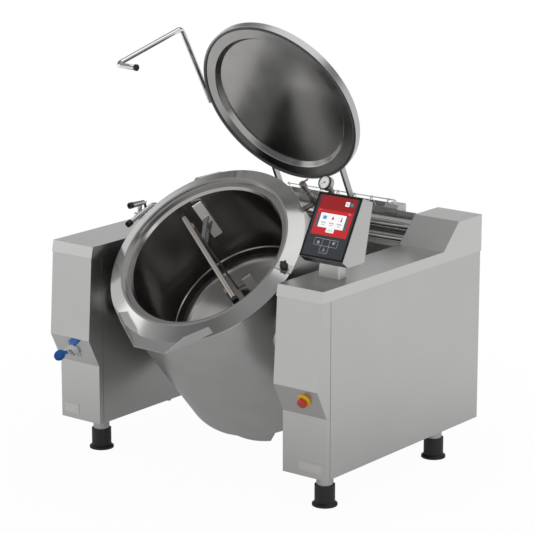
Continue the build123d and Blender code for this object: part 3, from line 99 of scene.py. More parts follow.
# brushed 1.4301 sheet, 240 grit: long fine lines that draw highlights out across the grain
def brushedSheet(name, light, dark, roughness, along="level"):
    material, tree, shader, place = newMaterial(name)
    lineWidth = 3.0 * mm  # grit lines are about 0.1 mm; drawn coarse enough to show
    lineStretch = 0.012  # a line is some eighty times as long as it is wide
    cloudSize = 260 * mm  # a sheet's tone changes slowly along the roll it was cut from
    topFace = 0.7  # faces more level than this have lines from front to back
    lineDepth = 0.008 * mm
    edgeRadius = 1.6 * mm  # sheet of 1.5 mm folds to about this
    stretch = {"level": (lineStretch, lineStretch, 1.0), "upright": (1.0, lineStretch, lineStretch)}[along]
    lines = grainPattern(tree, place, lineWidth, 1.0, stretch)
    topLines = grainPattern(tree, place, lineWidth, 1.0, (1.0, lineStretch, 1.0))
    surface = addNode(tree, "ShaderNodeNewGeometry").outputs["Normal"]
    upward = addNode(tree, "ShaderNodeSeparateXYZ", {"Vector": surface}).outputs["Z"]
    level = addNode(tree, "ShaderNodeMath", {0: upward}, operation="ABSOLUTE").outputs[0]
    isTop = addNode(tree, "ShaderNodeMath", {0: level, 1: topFace}, operation="GREATER_THAN").outputs[0]
    grain = addNode(tree, "ShaderNodeMix", {"Factor": isTop, "A": lines, "B": topLines}).outputs[0]
    cloud = grainPattern(tree, place, cloudSize, 1.0)
    grainShare = addNode(tree, "ShaderNodeMapRange", {"Value": grain, "To Min": 0.15, "To Max": 0.6})
    cloudShare = addNode(tree, "ShaderNodeMapRange", {"Value": cloud, "To Min": 0.0, "To Max": 0.25})
    shares = {0: grainShare.outputs[0], 1: cloudShare.outputs[0]}
    tone = addNode(tree, "ShaderNodeMath", shares, operation="ADD").outputs[0]
    dressShader(tree, shader, tone, grain, light, dark, roughness)
    shader.inputs["Metallic"].default_value = 1.0
    roundEdges(tree, shader, grain, lineDepth, edgeRadius)
    return material


# polished steel or brass: a mirror with a faint haze and the slow waves that rolling leaves
def polishedMetal(name, light, dark, roughness, wave):
    material, tree, shader, place = newMaterial(name)
    hazeSize = 110 * mm  # a polishing wheel clouds the surface over about a hand's width
    rollSize = 180 * mm  # waves left by the rollers
    edgeRadius = 0.8 * mm
    haze = grainPattern(tree, place, hazeSize, 1.0)
    rolls = grainPattern(tree, place, rollSize, 1.0)
    dressShader(tree, shader, haze, haze, light, dark, roughness)
    shader.inputs["Metallic"].default_value = 1.0
    roundEdges(tree, shader, rolls, wave * mm, edgeRadius)
    return material


# injection-moulded plastic: fine spark-eroded grain, slightly duller in the hollows
def mouldedPlastic(name, light, dark, roughness, grainSize=0.6, depth=0.03, coat=0.0):
    material, tree, shader, place = newMaterial(name)
    flowSize = 25 * mm  # tone drifts a little where the melt flowed
    edgeRadius = 0.6 * mm
    grain = grainPattern(tree, place, grainSize * mm, 2.0)
    tone = grainPattern(tree, place, flowSize, 2.0)
    dressShader(tree, shader, tone, grain, light, dark, roughness)
    shader.inputs["IOR"].default_value = 1.5
    shader.inputs["Coat Weight"].default_value = coat
    shader.inputs["Coat Roughness"].default_value = 0.08
    roundEdges(tree, shader, grain, depth * mm, edgeRadius)
    return material


# toughened front glass, printed dark grey on its back: a smooth, slightly cold reflection
def panelGlass(name, light, dark):
    material, tree, shader, place = newMaterial(name)
    rippleSize = 90 * mm  # toughening leaves slow, shallow ripples
    rippleDepth = 0.01 * mm
    edgeRadius = 0.6 * mm
    tone = grainPattern(tree, place, rippleSize, 1.0)
    dressShader(tree, shader, tone, tone, light, dark, (0.08, 0.08))
    shader.inputs["IOR"].default_value = 1.52
    roundEdges(tree, shader, tone, rippleDepth, edgeRadius)
    return material


# liquid-crystal picture behind glass: plain colour that glows a little by itself
def screenInk(name, light, dark, glow=0.12):
    material, tree, shader, place = newMaterial(name)
    pixelSize = 1.2 * mm  # pixels are about 0.1 mm; drawn coarser, so that they show
    cells = grainPattern(tree, place, pixelSize, 1.0)
    colour = dressShader(tree, shader, cells, cells, light, dark, (0.2, 0.28))
    tree.links.new(colour, shader.inputs["Emission Color"])
    shader.inputs["Emission Strength"].default_value = glow
    shader.inputs["IOR"].default_value = 1.5
    return material


# casings and panels: satin grey with level lines
sheetSteel = brushedSheet("brushedStainlessSheet", "#bdbdbc", "#a9a9a8", (0.24, 0.4))
# top covers: the same finish, painted one tone lighter as painted light for level tops under the overhead
# softbox
paintedLightCoverSteel = brushedSheet("litBrushedStainlessCover", "#c8c8c7", "#b4b4b3", (0.24, 0.4))
# bars, tubes and brackets: upright lines, a little glossier than the panels
toughSteel = brushedSheet("brushedStainlessBar", "#b6b6b5", "#a0a09f", (0.2, 0.34), "upright")
# electropolished 1.4404 inside: a dark warm mirror, blurred
vesselSteel = polishedMetal("electropolishedVessel", "#a9a7a6", "#9d9b9a", (0.17, 0.22), 0.02)
# collar and spout: the brightest polish on the kettle
collarSteel = polishedMetal("polishedCollar", "#c4c4c3", "#b6b6b5", (0.14, 0.2), 0.02)
# outer casing: finely ground, with wide soft highlights
bodySteel = polishedMetal("bodyCasingSteel", "#bcbcbb", "#b0b0af", (0.26, 0.32), 0.02)
# inside of the lid: dark and smooth, slightly wavy from pressing
lidSteel = polishedMetal("lidLinerSteel", "#a8a7a6", "#949392", (0.14, 0.22), 0.12)
# mixer bars: bead-blasted, warm and nearly dull
barSteel = polishedMetal("blastedMixerBar", "#bdb6b0", "#aaa39e", (0.34, 0.44), 0.02)
# valve and pipe: cast steel, brownish grey from heat
valveSteel = polishedMetal("castValveSteel", "#8f8884", "#7a736f", (0.24, 0.36), 0.05)
# taps, rods and rails: hard chrome with sharp black and white streaks
chrome = polishedMetal("chromedTube", "#dededd", "#cfcfce", (0.04, 0.09), 0.02)
# threaded pins: turned brass, pale yellow
brassMetal = polishedMetal("machinedBrass", "#cdb27a", "#b4975c", (0.2, 0.32), 0.02)
# rating plates: anodised aluminium, pale and warm
plateMetal = brushedSheet("anodisedPlate", "#c8c6c2", "#b5b3af", (0.3, 0.4))
# feet, caps, knobs and bezel: glass-filled polyamide, nearly black and dull
blackPlastic = mouldedPlastic("blackPolyamide", "#161617", "#0c0c0d", (0.42, 0.6))
# seal of the lid: silicone, dull mid grey
sealRubber = mouldedPlastic("siliconeSeal", "#55565a", "#3f4043", (0.5, 0.65))
# joints between the panels: a thin dark grey line of painted shade that stands for the shadow in the gap
paintedGapShade = mouldedPlastic("paintedJointShadow", "#5b5b5a", "#4d4d4c", (0.5, 0.6))
# stop collar, stop head and socket cap: glossy signal colours
yellowPlastic = mouldedPlastic("yellowPolycarbonate", "#f2c21c", "#e0ac10", (0.24, 0.36), coat=0.3)
redPlastic = mouldedPlastic("redPolycarbonate", "#c4201c", "#a81512", (0.22, 0.34), coat=0.3)
bluePlastic = mouldedPlastic("bluePolyamide", "#1f6fc4", "#15569f", (0.26, 0.4), coat=0.2)
# shaft seal: filled PTFE, waxy white
whitePlastic = mouldedPlastic("whitePtfe", "#e4e3de", "#d3d2cc", (0.3, 0.42))
# gearbox, motor and bearings: paint over rough castings
castPaint = mouldedPlastic("greyCastingPaint", "#5e6266", "#4c5054", (0.35, 0.5), 1.6, 0.1)
# socket: pale silver-grey polyamide
socketGrey = mouldedPlastic("silverGreyPolyamide", "#dadbdc", "#cccdce", (0.3, 0.42))
# scraper blades: natural polyethylene, milky and soft
bladePlastic = mouldedPlastic("naturalPolyethylene", "#eeedea", "#e2e1dd", (0.35, 0.5))
# screen module behind the glass: dark red while it is lit
displayPlastic = mouldedPlastic("displayModule", "#3a0d10", "#2c090b", (0.3, 0.4))
# gauge dial: white enamel under a clear coat, with printed black ink
dialEnamel = mouldedPlastic("whiteDialEnamel", "#e9e7e3", "#dedcd8", (0.25, 0.35), coat=0.4)
dialInk = mouldedPlastic("blackDialInk", "#1a1a1b", "#111112", (0.4, 0.5))
frontGlass = panelGlass("printedFrontGlass", "#3f4246", "#37393d")
print("materials made")

# every node that isn't named here is folded from the casing sheet
finishes = {
    "left_top_cover": paintedLightCoverSteel, "right_top_cover": paintedLightCoverSteel, "vessel": vesselSteel,
    "rim_collar": collarSteel, "pouring_spout": collarSteel, "rim_bracket": toughSteel,
    "outer_casing": bodySteel, "drive_housing": bodySteel, "trunnion_shafts": bodySteel,
    "mixer_frame": barSteel, "scraper_blades": bladePlastic, "blade_brackets": toughSteel,
    "mixer_caps": blackPlastic, "star_knob": blackPlastic, "shaft_seal": whitePlastic,
    "lid_liner": lidSteel, "lid_gasket": sealRubber, "lid_arms": toughSteel,
    "lid_handle": chrome, "handle_cap": blackPlastic, "hinge_shaft": chrome, "cross_rail": chrome,
    "feet_sleeves": blackPlastic, "feet_tubes": toughSteel, "tap_base": chrome, "tap_spout": chrome,
    "tap_tip": blackPlastic, "gun_holder": chrome, "spray_gun": chrome,
    "spray_nozzle": blackPlastic, "spray_trigger": blackPlastic,
    "control_glass": frontGlass, "control_display": displayPlastic,
    "stop_collar": yellowPlastic, "stop_button": redPlastic,
    "power_socket": socketGrey, "socket_cap": bluePlastic,
    "tilt_gearbox": castPaint, "mixer_motor": castPaint, "trunnion_bearings": castPaint,
    "water_inlets": brassMetal, "safety_valve": valveSteel, "safety_pipe": valveSteel,
    "pressure_gauge": chrome,
}
for name, node in nodes.items():
    node.data.materials.clear()
    node.data.materials.append(finishes.get(name, sheetSteel))
print("CAD nodes dressed")


def frameAt(origin, across, upward):
    # a flat frame in metres; its third axis points out of the surface
    x, y = Vector(across).normalized(), Vector(upward).normalized()
    out = x.cross(y)
    rows = zip(x, y, out, origin)
    return Matrix((*(tuple(row) for row in rows), (0, 0, 0, 1)))


def newPiece(name, builder, material, body, slotName, smooth=False):
    bmesh.ops.recalc_face_normals(builder, faces=builder.faces)
    mesh = bpy.data.meshes.new(name)
    builder.to_mesh(mesh)
    builder.free()
    mesh.materials.append(material)
    for face in mesh.polygons:
        face.use_smooth = smooth
    piece = bpy.data.objects.new(name, mesh)
    bpy.context.scene.collection.objects.link(piece)
    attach(piece, body)
    return piece


def tile(u, v, width, height, corner, steps=5):
    # rectangle with round corners about u, v
    points = []
    for turnStart, sx, sy in ((0, 1, 1), (90, -1, 1), (180, -1, -1), (270, 1, -1)):
        cornerU, cornerV = u + sx * (width / 2 - corner), v + sy * (height / 2 - corner)
        for step in range(steps + 1):
            angle = radians(turnStart + 90 * step / steps)
            points.append((cornerU + corner * cos(angle), cornerV + corner * sin(angle)))
    return points


def disc(radius, steps, u=0.0, v=0.0):
    turns = [2 * pi * step / steps for step in range(steps)]
    return [(u + radius * cos(angle), v + radius * sin(angle)) for angle in turns]


def addPrism(builder, place, outline, low, high, edge=0.0):
    # outline in mm on the frame, pulled in by edge at the top so that the rim catches light
    middleU, middleV = (sum(c) / len(outline) for c in zip(*outline))
    levels = ((low, 0.0), (high - edge, 0.0), (high, edge)) if edge else ((low, 0.0), (high, 0.0))
    rings = []
    for height, inset in levels:
        ring = []
        for u, v in outline:
            du, dv = u - middleU, v - middleV
            shrink = 1 - inset / max((du * du + dv * dv) ** 0.5, 1e-6)
            point = Vector(((middleU + du * shrink) * mm, (middleV + dv * shrink) * mm, height * mm))
            ring.append(builder.verts.new(place @ point))
        rings.append(ring)
    joinRings(builder, rings)
    builder.faces.new(rings[-1])
    builder.faces.new(list(reversed(rings[0])))


def joinRings(builder, rings):
    count = len(rings[0])
    for first, second in zip(rings, rings[1:]):
        for i in range(count):
            j = (i + 1) % count
            builder.faces.new((first[i], first[j], second[j], second[i]))


def addBand(builder, place, outer, inner, low, high):
    # ring between two outlines with the same number of points
    levels = ((outer, low), (outer, high), (inner, high), (inner, low))
    rings = [
        [builder.verts.new(place @ Vector((u * mm, v * mm, height * mm))) for u, v in outline]
        for outline, height in levels
    ]
    joinRings(builder, rings + rings[:1])


def prismPiece(name, place, outlines, low, high, material, body, slotName, edge=0.0):
    builder = bmesh.new()
    for outline in outlines:
        addPrism(builder, place, outline, low, high, edge)
    return newPiece(name, builder, material, body, slotName)


def bentPath(points, bend, steps):
    # corners of a route, rounded by arcs of this radius
    points = [Vector(p) for p in points]
    path = [points[0]]
    for before, corner, after in zip(points, points[1:], points[2:]):
        inward, onward = (before - corner).normalized(), (after - corner).normalized()
        half = inward.angle(onward) / 2
        room = 0.49 * min((before - corner).length, (after - corner).length)
        reach = min(bend / tan(half), room)
        radius = reach * tan(half)
        centre = corner + (inward + onward).normalized() * (radius / sin(half))
        start, end = corner + inward * reach - centre, corner + onward * reach - centre
        for step in range(steps + 1):
            path.append(centre + start.slerp(end, step / steps) * radius)
    path.append(points[-1])
    return path


def addTube(builder, place, path, radius, sides):
    # round tube along a path in mm, with slightly rounded ends
    path = [place @ (Vector(p) * mm) for p in path]
    radius *= mm
    side = (path[1] - path[0]).normalized().orthogonal().normalized()
    rings = []
    for i, point in enumerate(path):
        onward = (path[min(i + 1, len(path) - 1)] - path[max(i - 1, 0)]).normalized()
        side = (side - onward * side.dot(onward)).normalized()
        rings.append((point, side.copy(), onward.cross(side), onward))
    endPush, endShrink = 0.14, 0.8  # shares of the radius
    sections = [(rings[0], -endPush, endShrink), *((ring, 0.0, 1.0) for ring in rings)]
    sections.append((rings[-1], endPush, endShrink))
    loops = []
    for (point, across, other, onward), push, shrink in sections:
        middle = point + onward * push * radius
        spokes = [across * cos(2 * pi * k / sides) + other * sin(2 * pi * k / sides) for k in range(sides)]
        loops.append([builder.verts.new(middle + spoke * radius * shrink) for spoke in spokes])
    joinRings(builder, loops)
    builder.faces.new(list(reversed(loops[0])))
    builder.faces.new(loops[-1])


def tubePiece(name, place, paths, radius, sides, material, body, slotName):
    builder = bmesh.new()
    for path in paths:
        addTube(builder, place, path, radius, sides)
    return newPiece(name, builder, material, body, slotName, smooth=True)


# control screen: places and sizes in mm from the middle of the glass, v up the slope;
# a tile is its centre, width, height and corner radius, and symbols are drawn about their own centres
screen = {
    "centre": (0.5795, -0.2381, 1.1005), "slope": 60.44244,
    "lift": 0.02, "layer": 0.1, "borderTop": 0.12, "keyTop": 0.16, "dialTop": 0.4,
    "dialSides": 28, "bulbSides": 16,
    "glass": (0.0, 0.0, 208.0, 264.6, 3.0), "window": (0.0, 0.0, 191.0, 247.6, 5.0),
    "picture": (0.8, 42.5, 170.0, 161.0, 2.0), "header": (0.8, 95.0, 170.0, 56.0, 2.0),
    "headerTile": (44.8, 99.0, 19.0, 19.0, 1.5), "headerTileMark": (44.8, 99.0, 8.0, 8.0, 1.0),
    "headerTileGrey": (65.8, 98.0, 19.0, 17.0, 1.5), "headerTileBar": (65.8, 98.0, 9.0, 2.0, 0.8),
    "marks": ((-71.0, 63.0, 11.0, 3.0, 1.0), (-75.0, 58.0, 3.0, 9.0, 1.0), (69.0, 60.0, 12.0, 8.0, 1.5)),
    "card": (-2.5, 22.5, 121.0, 59.0, 2.5),
    "strips": ((-67.0, -3.0, 13.0, 54.0, 1.0), (67.0, -3.0, 13.0, 54.0, 1.0)),
    "tab": (0.8, -15.5, 38.0, 19.0, 2.0), "button": (0.8, -15.5, 25.0, 10.0, 3.0),
    "menuPitch": 38.0, "symbolRise": 12.0,
    "bars": ((0.0, -9.0, 24.0, 5.0, 1.2), (0.0, -18.0, 15.0, 3.4, 1.0)),
    "pot": ((0.0, -2.0, 17.0, 10.0, 2.5), (0.0, 4.4, 20.0, 2.4, 1.0), (0.0, 7.6, 5.0, 2.4, 1.0)),
    "flame": (
        (0, 9), (3.0, 4.5), (5.4, 0.5), (5.2, -3.6), (2.6, -6.2),
        (-2.6, -6.2), (-5.2, -3.6), (-5.0, 0), (-2.6, 2.4),
    ),
    "tube": (4.0, 1.0, 4.2, 15.0, 2.0), "bulb": (4.0, -6.0, 4.0), "dial": (-3.0, 9.5, 8.5),
    "keys": ((-35.0, -65.0), (37.0, -66.0), (0.0, -94.0)),
    "keyOuter": (40.0, 30.0, 4.0), "keyInner": (37.2, 27.2, 3.0), "keyBridge": (1.0, -52.0, 33.0, 1.4, 0.5),
    "keyArrow": ((-7, -3), (0, 5), (7, -3), (7, -5), (-7, -5)), "arrowDash": (0.0, -8.0, 12.0, 1.8, 0.8),
    "stirrer": ((0.0, 1.0, 1.8, 15.0, 0.8), (0.0, -5.0, 15.0, 1.8, 0.8), (0.0, 1.0, 9.0, 1.8, 0.8)),
}
inks = {
    "border": screenInk("blackGlassPrint", "#121213", "#0b0b0c", 0.0),
    "header": screenInk("darkRedPicture", "#96191d", "#8e171b"),
    "field": screenInk("redPicture", "#c6252a", "#bc2227"),
    "mark": screenInk("paleRedMark", "#d9666a", "#d05e62"),
    "strip": screenInk("slateStrip", "#56626e", "#4c5762"),
    "card": screenInk("whiteCard", "#f7f7f7", "#f0f0f1"),
    "blue": screenInk("blueSymbol", "#3a9fd8", "#2f93cc"),
    "red": screenInk("redSymbol", "#d8262e", "#cc2028"),
    "grey": screenInk("greyBars", "#b9bcc0", "#aeb1b6"),
    "green": screenInk("paleGreenButton", "#d9ecd6", "#cfe4cc"),
    "key": screenInk("palePrintedLine", "#a9adb2", "#9fa3a8", 0.0),
}
slope = radians(screen["slope"])
screenFrame = frameAt(screen["centre"], (1, 0, 0), (0, cos(slope), sin(slope)))


def tilesAt(tiles, u, v):
    # tiles of the dictionary, moved to the centre they are drawn about
    return [tile(u + across, v + up, *size) for across, up, *size in tiles]


def inkPiece(name, shapes, level, ink):
    # each layer stands a tenth of a millimetre over the one below it
    top = screen["layer"] * (1 + level)
    prismPiece(name, screenFrame, shapes, screen["lift"], top, inks[ink], "stand", "display")


def inkRings(name, rings, top, ink, bars=()):
    # fine printed lines, each between an outer and an inner outline
    builder = bmesh.new()
    for outer, inner in rings:
        addBand(builder, screenFrame, outer, inner, screen["lift"], top)
    for bar in bars:
        addPrism(builder, screenFrame, bar, screen["lift"], top)
    newPiece(name, builder, inks[ink], "stand", "display")


def makePicture():
    border = (tile(*screen["glass"]), tile(*screen["window"]))
    inkRings("glassBorder", [border], screen["borderTop"], "border")
    inkPiece("pictureField", [tile(*screen["picture"])], 0, "field")
    inkPiece("pictureHeader", [tile(*screen["header"])], 1, "header")
    inkPiece("headerTile", [tile(*screen["headerTile"])], 2, "card")
    inkPiece("headerTileGrey", [tile(*screen["headerTileGrey"])], 2, "strip")
    tileMarks = [tile(*screen["headerTileMark"]), tile(*screen["headerTileBar"])]
    inkPiece("headerTileMark", tileMarks, 3, "grey")


def makeMenu():
    cardU, cardV = screen["card"][:2]
    inkPiece("sideStrips", tilesAt(screen["strips"], cardU, cardV), 1, "strip")
    inkPiece("menuCard", [tile(*screen["card"])], 2, "card")
    inkPiece("startTab", [tile(*screen["tab"])], 2, "card")
    inkPiece("startButton", [tile(*screen["button"])], 3, "green")
    inkPiece("cornerMarks", tilesAt(screen["marks"], 0, 0), 1, "mark")
    # a pot, a flame and a thermometer with its dial, each over two short grey bars
    columns = [cardU + way * screen["menuPitch"] for way in (-1, 0, 1)]
    potU, flameU, dialU = columns
    row = cardV + screen["symbolRise"]
    inkPiece("potSymbol", tilesAt(screen["pot"], potU, row), 3, "blue")
    inkPiece("flameSymbol", [[(flameU + x, row + y) for x, y in screen["flame"]]], 3, "red")
    bulbU, bulbV, bulbRadius = screen["bulb"]
    bulb = disc(bulbRadius, screen["bulbSides"], dialU + bulbU, row + bulbV)
    inkPiece("thermometerSymbol", [*tilesAt([screen["tube"]], dialU, row), bulb], 3, "red")
    shift, outer, inner = screen["dial"]
    dial = [disc(radius, screen["dialSides"], dialU + shift, row) for radius in (outer, inner)]
    inkRings("dialSymbol", [dial], screen["dialTop"], "grey")
    bars = [tilesAt([bar], column, cardV)[0] for bar in screen["bars"] for column in columns]
    inkPiece("menuBars", bars, 3, "grey")


def makeKeys():
    # touch keys printed as fine outlines, with plain arrows and a stirrer
    rings = [(tile(u, v, *screen["keyOuter"]), tile(u, v, *screen["keyInner"])) for u, v in screen["keys"]]
    inkRings("keyOutlines", rings, screen["keyTop"], "key", [tile(*screen["keyBridge"])])
    symbols = []
    dashU, dashV, *dash = screen["arrowDash"]
    for (u, v), way in zip(screen["keys"], (1, -1)):
        # the second arrow is the first one turned over
        symbols.append([(u + x, v + y * way) for x, y in screen["keyArrow"]][::way])
        symbols.append(tile(u + dashU, v + dashV * way, *dash))
    symbols += tilesAt(screen["stirrer"], *screen["keys"][2])
    inkPiece("keySymbols", symbols, 1, "key")


makePicture()
makeMenu()
makeKeys()
print("control screen drawn")

# bare rating plates on the lower fronts: x, z, width, height and thickness in mm
plates = {
    "frontY": -0.4128, "left": (-638.0, 176.5, 80.0, 45.0, 1.4), "right": (616.5, 174.0, 113.0, 40.0, 0.6),
    "gap": 0.02, "corner": 4.0, "edge": 0.4,
    "fieldMargin": (14.0, 12.0), "fieldCorner": 2.0, "fieldProud": 0.15,
    "rivetRadius": 1.8, "rivetSides": 12, "rivetInset": 4.0, "rivetProud": 0.7, "rivetEdge": 0.5, "sunk": 0.1,
}


def makePlate(side):
    x, z, width, height, thick = plates[side]
    marginU, marginV = plates["fieldMargin"]
    place = frameAt((x * mm, plates["frontY"], z * mm), (1, 0, 0), (0, 0, 1))
    plate = tile(0, 0, width, height, plates["corner"])
    field = tile(0, 0, width - marginU, height - marginV, plates["fieldCorner"])
    low = thick - plates["sunk"]
    fieldTop, rivetTop = thick + plates["fieldProud"], thick + plates["rivetProud"]
    steel = (plateMetal, "stand", "satin_steel")
    prismPiece(side + "BarePlate", place, [plate], plates["gap"], thick, *steel, edge=plates["edge"])
    prismPiece(side + "PlateField", place, [field], low, fieldTop, *steel)
    rivetU, rivetV = width / 2 - plates["rivetInset"], height / 2 - plates["rivetInset"]
    corners = [(sx * rivetU, sy * rivetV) for sx in (-1, 1) for sy in (-1, 1)]
    rivets = [disc(plates["rivetRadius"], plates["rivetSides"], *corner) for corner in corners]
    head = (chrome, "stand", "bright_steel")
    prismPiece(side + "PlateRivets", place, rivets, low, rivetTop, *head, edge=plates["rivetEdge"])


makePlate("left")
makePlate("right")

# safety valve and pressure gauge on the steam pipe; the gauge faces whoever stands in front
kettle = {"tilt": 42.0, "mouth": (0, -0.298934, 0.920258), "pipeTurn": 40.0}
gauge = {
    "reach": 560.0, "drop": 11.0, "facing": (-0.06, -0.9, 0.42), "radius": 29.0, "depth": 13.0, "edge": 1.2,
    "bezel": 3.4, "bezelOut": 0.6, "bezelBack": 6.0, "lip": 3.0, "stem": 8.0, "stemEnd": 32.0,
    "dialGap": 0.1, "dialLevels": (0.02, 0.4), "tickLevels": (0.3, 0.55), "needleLevels": (0.5, 1.0),
    "tickRadius": 23.0, "ticks": 17, "longEvery": 4, "longTick": (5.0, 0.6), "shortTick": (3.0, 0.4),
    "sides": 48, "stemSides": 18, "hubSides": 16, "stemLap": 1.0,
    "needle": (18.0, 7.0, 1.4), "hub": 3.0, "zeroTurn": -135.0, "sweep": 270.0, "reading": 20.0,
}
valve = {
    "reach": 478.0, "depth": 70.0, "hexagon": 13.0, "tube": 10.0, "cap": 14.0, "lap": 1.0,
    "body": 58.0, "nut": (70.0, 82.0), "capFoot": 105.0, "top": 128.0, "lever": (29.0, 3.0, 4.0, 2.5),
    "hexagonEdge": 1.0, "capEdge": 2.0, "leverEdge": 0.4, "tubeSides": 28, "capSides": 32,
}
tilt, pipeTurn = radians(kettle["tilt"]), radians(kettle["pipeTurn"])
mouth = Vector(kettle["mouth"])
kettleUp, kettleBack = Vector((0, -sin(tilt), cos(tilt))), Vector((0, cos(tilt), sin(tilt)))
outward = Vector((1, 0, 0)) * sin(pipeTurn) + kettleBack * cos(pipeTurn)


def dialVector(degrees):
    # direction on the dial, turned clockwise from the top
    return Vector((cos(radians(90 - degrees)), sin(radians(90 - degrees))))


def makeDial(place):
    depth = gauge["depth"]
    dialLevels, tickLevels, needleLevels = (
        [depth + level for level in gauge[name]] for name in ("dialLevels", "tickLevels", "needleLevels")
    )
    enamel = disc(gauge["radius"] - gauge["bezel"] - gauge["dialGap"], gauge["sides"])
    prismPiece("gaugeDial", place, [enamel], *dialLevels, dialEnamel, "kettle", "white_plastic")
    ticks = []
    for step in range(gauge["ticks"]):
        radial = dialVector(gauge["zeroTurn"] + gauge["sweep"] * step / (gauge["ticks"] - 1))
        length, halfWidth = gauge["shortTick"] if step % gauge["longEvery"] else gauge["longTick"]
        outerEnd, innerEnd = radial * gauge["tickRadius"], radial * (gauge["tickRadius"] - length)
        half = Vector((-radial.y, radial.x)) * halfWidth
        corners = (innerEnd - half, outerEnd - half, outerEnd + half, innerEnd + half)
        ticks.append([tuple(corner) for corner in corners])
    printed = (dialInk, "kettle", "black_plastic")
    prismPiece("gaugeTicks", place, ticks, *tickLevels, *printed)
    tip = dialVector(gauge["zeroTurn"] + gauge["reading"])
    length, tail, halfWidth = gauge["needle"]
    half = Vector((-tip.y, tip.x)) * halfWidth
    needle = [tuple(-tip * tail - half), tuple(tip * length), tuple(-tip * tail + half)]
    hub = disc(gauge["hub"], gauge["hubSides"])
    prismPiece("gaugeNeedle", place, [needle, hub], *needleLevels, *printed)


def makeGauge():
    centre = mouth + (outward * gauge["reach"] - kettleUp * gauge["drop"]) * mm
    facing = Vector(gauge["facing"]).normalized()
    across = Vector((1, 0, 0)) - facing * facing.x
    place = frameAt(centre, across, facing.cross(across))
    radius, depth, sides = gauge["radius"], gauge["depth"], gauge["sides"]
    builder = bmesh.new()
    addPrism(builder, place, disc(radius, sides), -depth, depth, edge=gauge["edge"])
    stemEnd = place.inverted() @ (centre - kettleUp * gauge["stemEnd"] * mm) / mm
    stemStart = (0, 0, gauge["stemLap"] - depth)
    addTube(builder, place, [stemStart, stemEnd], gauge["stem"], gauge["stemSides"])
    case = newPiece("gaugeCase", builder, toughSteel, "kettle", "chrome")
    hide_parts("pressure_gauge")
    builder = bmesh.new()
    outer, inner = disc(radius + gauge["bezelOut"], sides), disc(radius - gauge["bezel"], sides)
    addBand(builder, place, outer, inner, depth - gauge["bezelBack"], depth + gauge["lip"])
    newPiece("gaugeBezel", builder, blackPlastic, "kettle", "black_plastic")
    makeDial(place)


def makeValve():
    foot = mouth + (outward * valve["reach"] - kettleUp * valve["depth"]) * mm
    place = frameAt(foot, outward, kettleUp.cross(outward))
    hexagon = disc(valve["hexagon"], 6)
    tube, cap = disc(valve["tube"], valve["tubeSides"]), disc(valve["cap"], valve["capSides"])
    length, rootHalf, tipHalf, thick = valve["lever"]
    lever = [(0.0, -rootHalf), (length, -tipHalf), (length, tipHalf), (0.0, rootHalf)]
    builder = bmesh.new()
    body, top, lap, edge = valve["body"], valve["top"], valve["lap"], valve["hexagonEdge"]
    addPrism(builder, place, hexagon, 0.0, body, edge=edge)
    addPrism(builder, place, tube, body - lap, valve["capFoot"] + lap)
    addPrism(builder, place, hexagon, *valve["nut"], edge=edge)
    addPrism(builder, place, cap, valve["capFoot"], top, edge=valve["capEdge"])
    addPrism(builder, place, lever, top, top + thick, edge=valve["leverEdge"])
    piece = newPiece("safetyValveBody", builder, valveSteel, "kettle", "chrome")
    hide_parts("safety_valve")


makeGauge()
makeValve()

# painted shade lines where the front panels meet the casings, on both sides of each column: thin dark strips
# that stand for the shadow in the gaps
joints = {
    "y": -0.3886, "low": 136.0, "high": 852.0, "width": 1.8, "corner": 0.8, "depth": (-0.2, 0.3),
    "cornerSteps": 3,
    "sides": ((-694.7, -1), (-481.3, 1), (481.3, -1), (694.7, 1)),
}


def makeJoints():
    tall, middle = joints["high"] - joints["low"], (joints["high"] + joints["low"]) / 2
    line = tile(0, middle, joints["width"], tall, joints["corner"], joints["cornerSteps"])
    # dark grey strip: painted shade in the gap between panel and casing
    shadeFinish = (paintedGapShade, "stand", "seal_rubber")
    for count, (x, outside) in enumerate(joints["sides"]):
        place = frameAt((x * mm, joints["y"], 0), (0, outside, 0), (0, 0, 1))
        prismPiece("gapShadeLine" + str(count), place, [line], *joints["depth"], *shadeFinish)


# latch over the socket: a bar on a short stem, both as tiles from the socket's centre
latch = {
    "centre": (-0.595, -0.439694, 0.438898), "slope": 116.60312,
    "bar": (30.0, 62.0, 42.0, 12.0, 2.5), "stem": (29.0, 49.0, 10.0, 16.0, 2.5),
    "levels": (0.05, 13.0), "edge": 1.5,
}


def makeLatch():
    slope = radians(latch["slope"])
    place = frameAt(latch["centre"], (1, 0, 0), (0, cos(slope), sin(slope)))
    shapes = [tile(*latch["bar"]), tile(*latch["stem"])]
    finish = (bluePlastic, "stand", "blue_plastic")
    prismPiece("socketLatch", place, shapes, *latch["levels"], *finish, edge=latch["edge"])


makeJoints()
makeLatch()
print("plates, gauge, valve, joints and latch made")

# rack behind the lid: folded tray hooked over the bridge, wire rail on ball knobs;
# x from the machine's middle, y from the columns' front and z from the floor, in mm
rack = {
    "left": -272.0, "right": 351.0, "front": 975.0, "back": 1040.0, "sheet": 2.0,
    "hook": 976.0, "frontTop": 1003.0, "backTop": 1008.0, "boxLeft": 285.0, "boxTop": 1015.0,
    "bridgeFront": 998.0, "bridgeFall": 32.0 / 116.0, "contact": 0.05, "boxNose": 10.0, "boxDrop": 1.0,
    "railY": 1028.0, "railZ": 1024.0, "wire": 2.5, "legWire": 2.25, "railBend": 14.0,
    "firstKnob": -260.5, "knobPitch": 88.5, "knobs": 7, "knob": 5.6, "legRun": 27.0,
    "railStraight": 36.0, "railPast": 54.0, "railEndY": 1000.0, "railSink": 1.0, "columnsFront": -0.4416002,
    "bendSteps": 8, "wireSides": 14, "legSides": 10, "knobFacets": (16, 10),
}


def bridgeTop(y):
    # height of the bridge's sloping top, with the gap that keeps the tray off it
    return rack["bridgeFront"] + rack["contact"] - rack["bridgeFall"] * (y - rack["front"])


